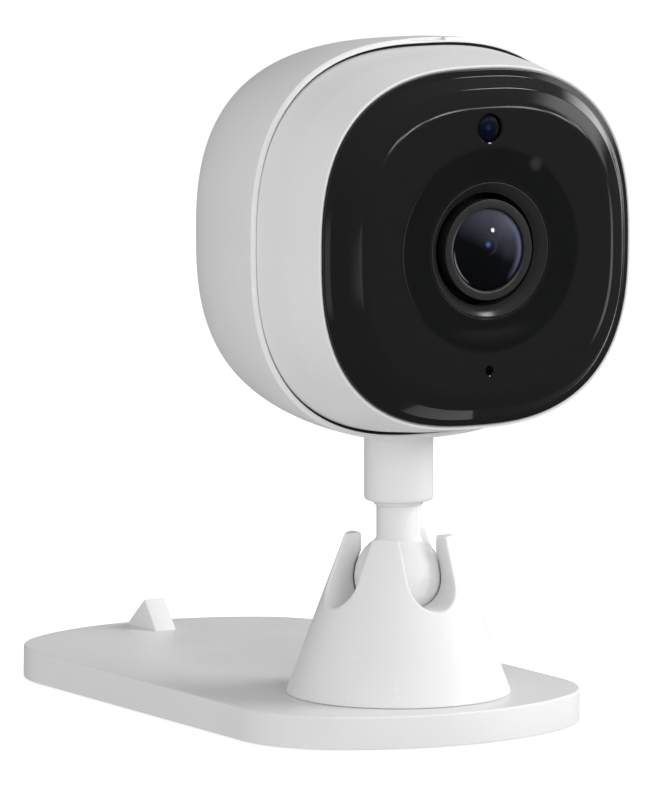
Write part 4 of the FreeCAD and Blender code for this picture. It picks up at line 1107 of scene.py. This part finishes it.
def make_reflections():
    """A shell that only reflections see: dim all round, with soft bright patches as softboxes."""
    material = bpy.data.materials.new("reflections")
    material.use_nodes = True
    tree = material.node_tree
    tree.nodes.clear()
    new, join = tree.nodes.new, tree.links.new

    def math_node(kind, first, second):
        made = new("ShaderNodeMath")
        made.operation = kind
        for socket, value in zip(made.inputs, (first, second)):
            if isinstance(value, float):
                socket.default_value = value
            else:
                join(value, socket)
        return made.outputs[0]

    place = new("ShaderNodeTexCoord")
    unit = new("ShaderNodeVectorMath")
    unit.operation = "NORMALIZE"
    join(place.outputs["Object"], unit.inputs[0])
    split = new("ShaderNodeSeparateXYZ")
    join(unit.outputs[0], split.inputs[0])
    level = new("ShaderNodeMapRange")
    rise = {"From Min": -0.15, "From Max": 0.9, "To Min": ROOM_LOW, "To Max": ROOM_HIGH}
    for socket, value in rise.items():
        level.inputs[socket].default_value = value
    join(split.outputs["Z"], level.inputs["Value"])
    total = level.outputs["Result"]
    for azimuth, elevation, inner, outer, brightness in PATCHES:
        towards = new("ShaderNodeVectorMath")
        towards.operation = "DOT_PRODUCT"
        towards.inputs[1].default_value = direction(azimuth, elevation)
        join(unit.outputs[0], towards.inputs[0])
        soft = new("ShaderNodeMapRange")
        soft.interpolation_type = "SMOOTHERSTEP"
        soft.inputs["From Min"].default_value = math.cos(math.radians(outer))
        soft.inputs["From Max"].default_value = math.cos(math.radians(inner))
        soft.inputs["To Max"].default_value = brightness
        join(towards.outputs["Value"], soft.inputs["Value"])
        total = math_node("ADD", total, soft.outputs["Result"])
    glow = new("ShaderNodeEmission")
    join(total, glow.inputs["Strength"])
    out = new("ShaderNodeOutputMaterial")
    join(glow.outputs[0], out.inputs["Surface"])
    bm = bmesh.new()
    bmesh.ops.create_uvsphere(bm, u_segments=48, v_segments=24, radius=4.0)
    mesh = bpy.data.meshes.new("reflections")
    bm.to_mesh(mesh)
    bm.free()
    mesh.shade_smooth()
    mesh.materials.append(material)
    room = bpy.data.objects.new("reflections", mesh)
    for flag in ("visible_camera", "visible_diffuse", "visible_transmission", "visible_volume_scatter",
                 "visible_shadow"):
        setattr(room, flag, False)
    bpy.context.scene.collection.objects.link(room)


def make_world():
    """Soft white room: bright above, dim below the horizon."""
    world = bpy.data.worlds.new("room")
    bpy.context.scene.world = world
    world.use_nodes = True
    tree = world.node_tree
    tree.nodes.clear()
    new, join = tree.nodes.new, tree.links.new
    place = new("ShaderNodeTexCoord")
    split = new("ShaderNodeSeparateXYZ")
    ramp = new("ShaderNodeValToRGB")
    back = new("ShaderNodeBackground")
    out = new("ShaderNodeOutputWorld")
    shift = new("ShaderNodeMapRange")
    shift.inputs["From Min"].default_value = -1.0
    join(place.outputs["Generated"], split.inputs[0])
    join(split.outputs["Z"], shift.inputs["Value"])
    join(shift.outputs["Result"], ramp.inputs["Fac"])
    join(ramp.outputs["Color"], back.inputs["Color"])
    join(back.outputs[0], out.inputs["Surface"])
    stops = ramp.color_ramp.elements
    stops[0].position, stops[0].color = 0.40, (*(WORLD_LOW,) * 3, 1)
    stops[1].position, stops[1].color = 0.60, (*(WORLD_MIDDLE,) * 3, 1)
    high = stops.new(1.0)
    high.color = (*(WORLD_HIGH,) * 3, 1)
    back.inputs["Strength"].default_value = 1.0


def make_floor():
    """Plain pale floor that runs out of sight."""
    m = Nodes("pale_floor")
    tone = m.spread(m.noise(0.004, 3.0), 0.0, 1.0)
    m.link(m.blend(tone, (0.90, 0.90, 0.90), (0.93, 0.93, 0.93)), m.shader.inputs["Base Color"])
    m.link(m.spread(m.noise(0.02, 4.0), 0.7, 0.9), m.shader.inputs["Roughness"])
    m.set(**{"Specular IOR Level": 0.1, "Emission Strength": FLOOR_GLOW,
             "Emission Color": (1, 1, 1, 1)})
    bm = bmesh.new()
    bmesh.ops.create_grid(bm, x_segments=8, y_segments=8, size=12.0)
    mesh = bpy.data.meshes.new("floor")
    bm.to_mesh(mesh)
    bm.free()
    mesh.materials.append(m.material)
    floor = bpy.data.objects.new("floor", mesh)
    floor.visible_glossy = False
    floor.visible_diffuse = False
    bpy.context.scene.collection.objects.link(floor)


def make_lights():
    add_softbox("key", 62, 30, 0.95, (0.55, 0.55), 6.0)
    add_softbox("front", -8, 14, 1.3, (0.5, 0.5), 5.0)
    add_softbox("left", -84, 0, 1.0, (0.5, 0.09), 1.6)


dress_frame()
make_rear_shell()
make_front_ring()
make_gap_shade_loop()
make_front_window()
make_lens_trim()
make_lens_barrel()
make_front_lens()
make_inner_glass()
make_light_guide()
make_reset_button()
make_base_plate()
make_socket_cone()
make_ball_stud()
make_foot_pads()
make_floor()
make_world()
make_lights()
make_reflections()
make_camera()
bpy.context.scene.view_settings.view_transform = "Standard"
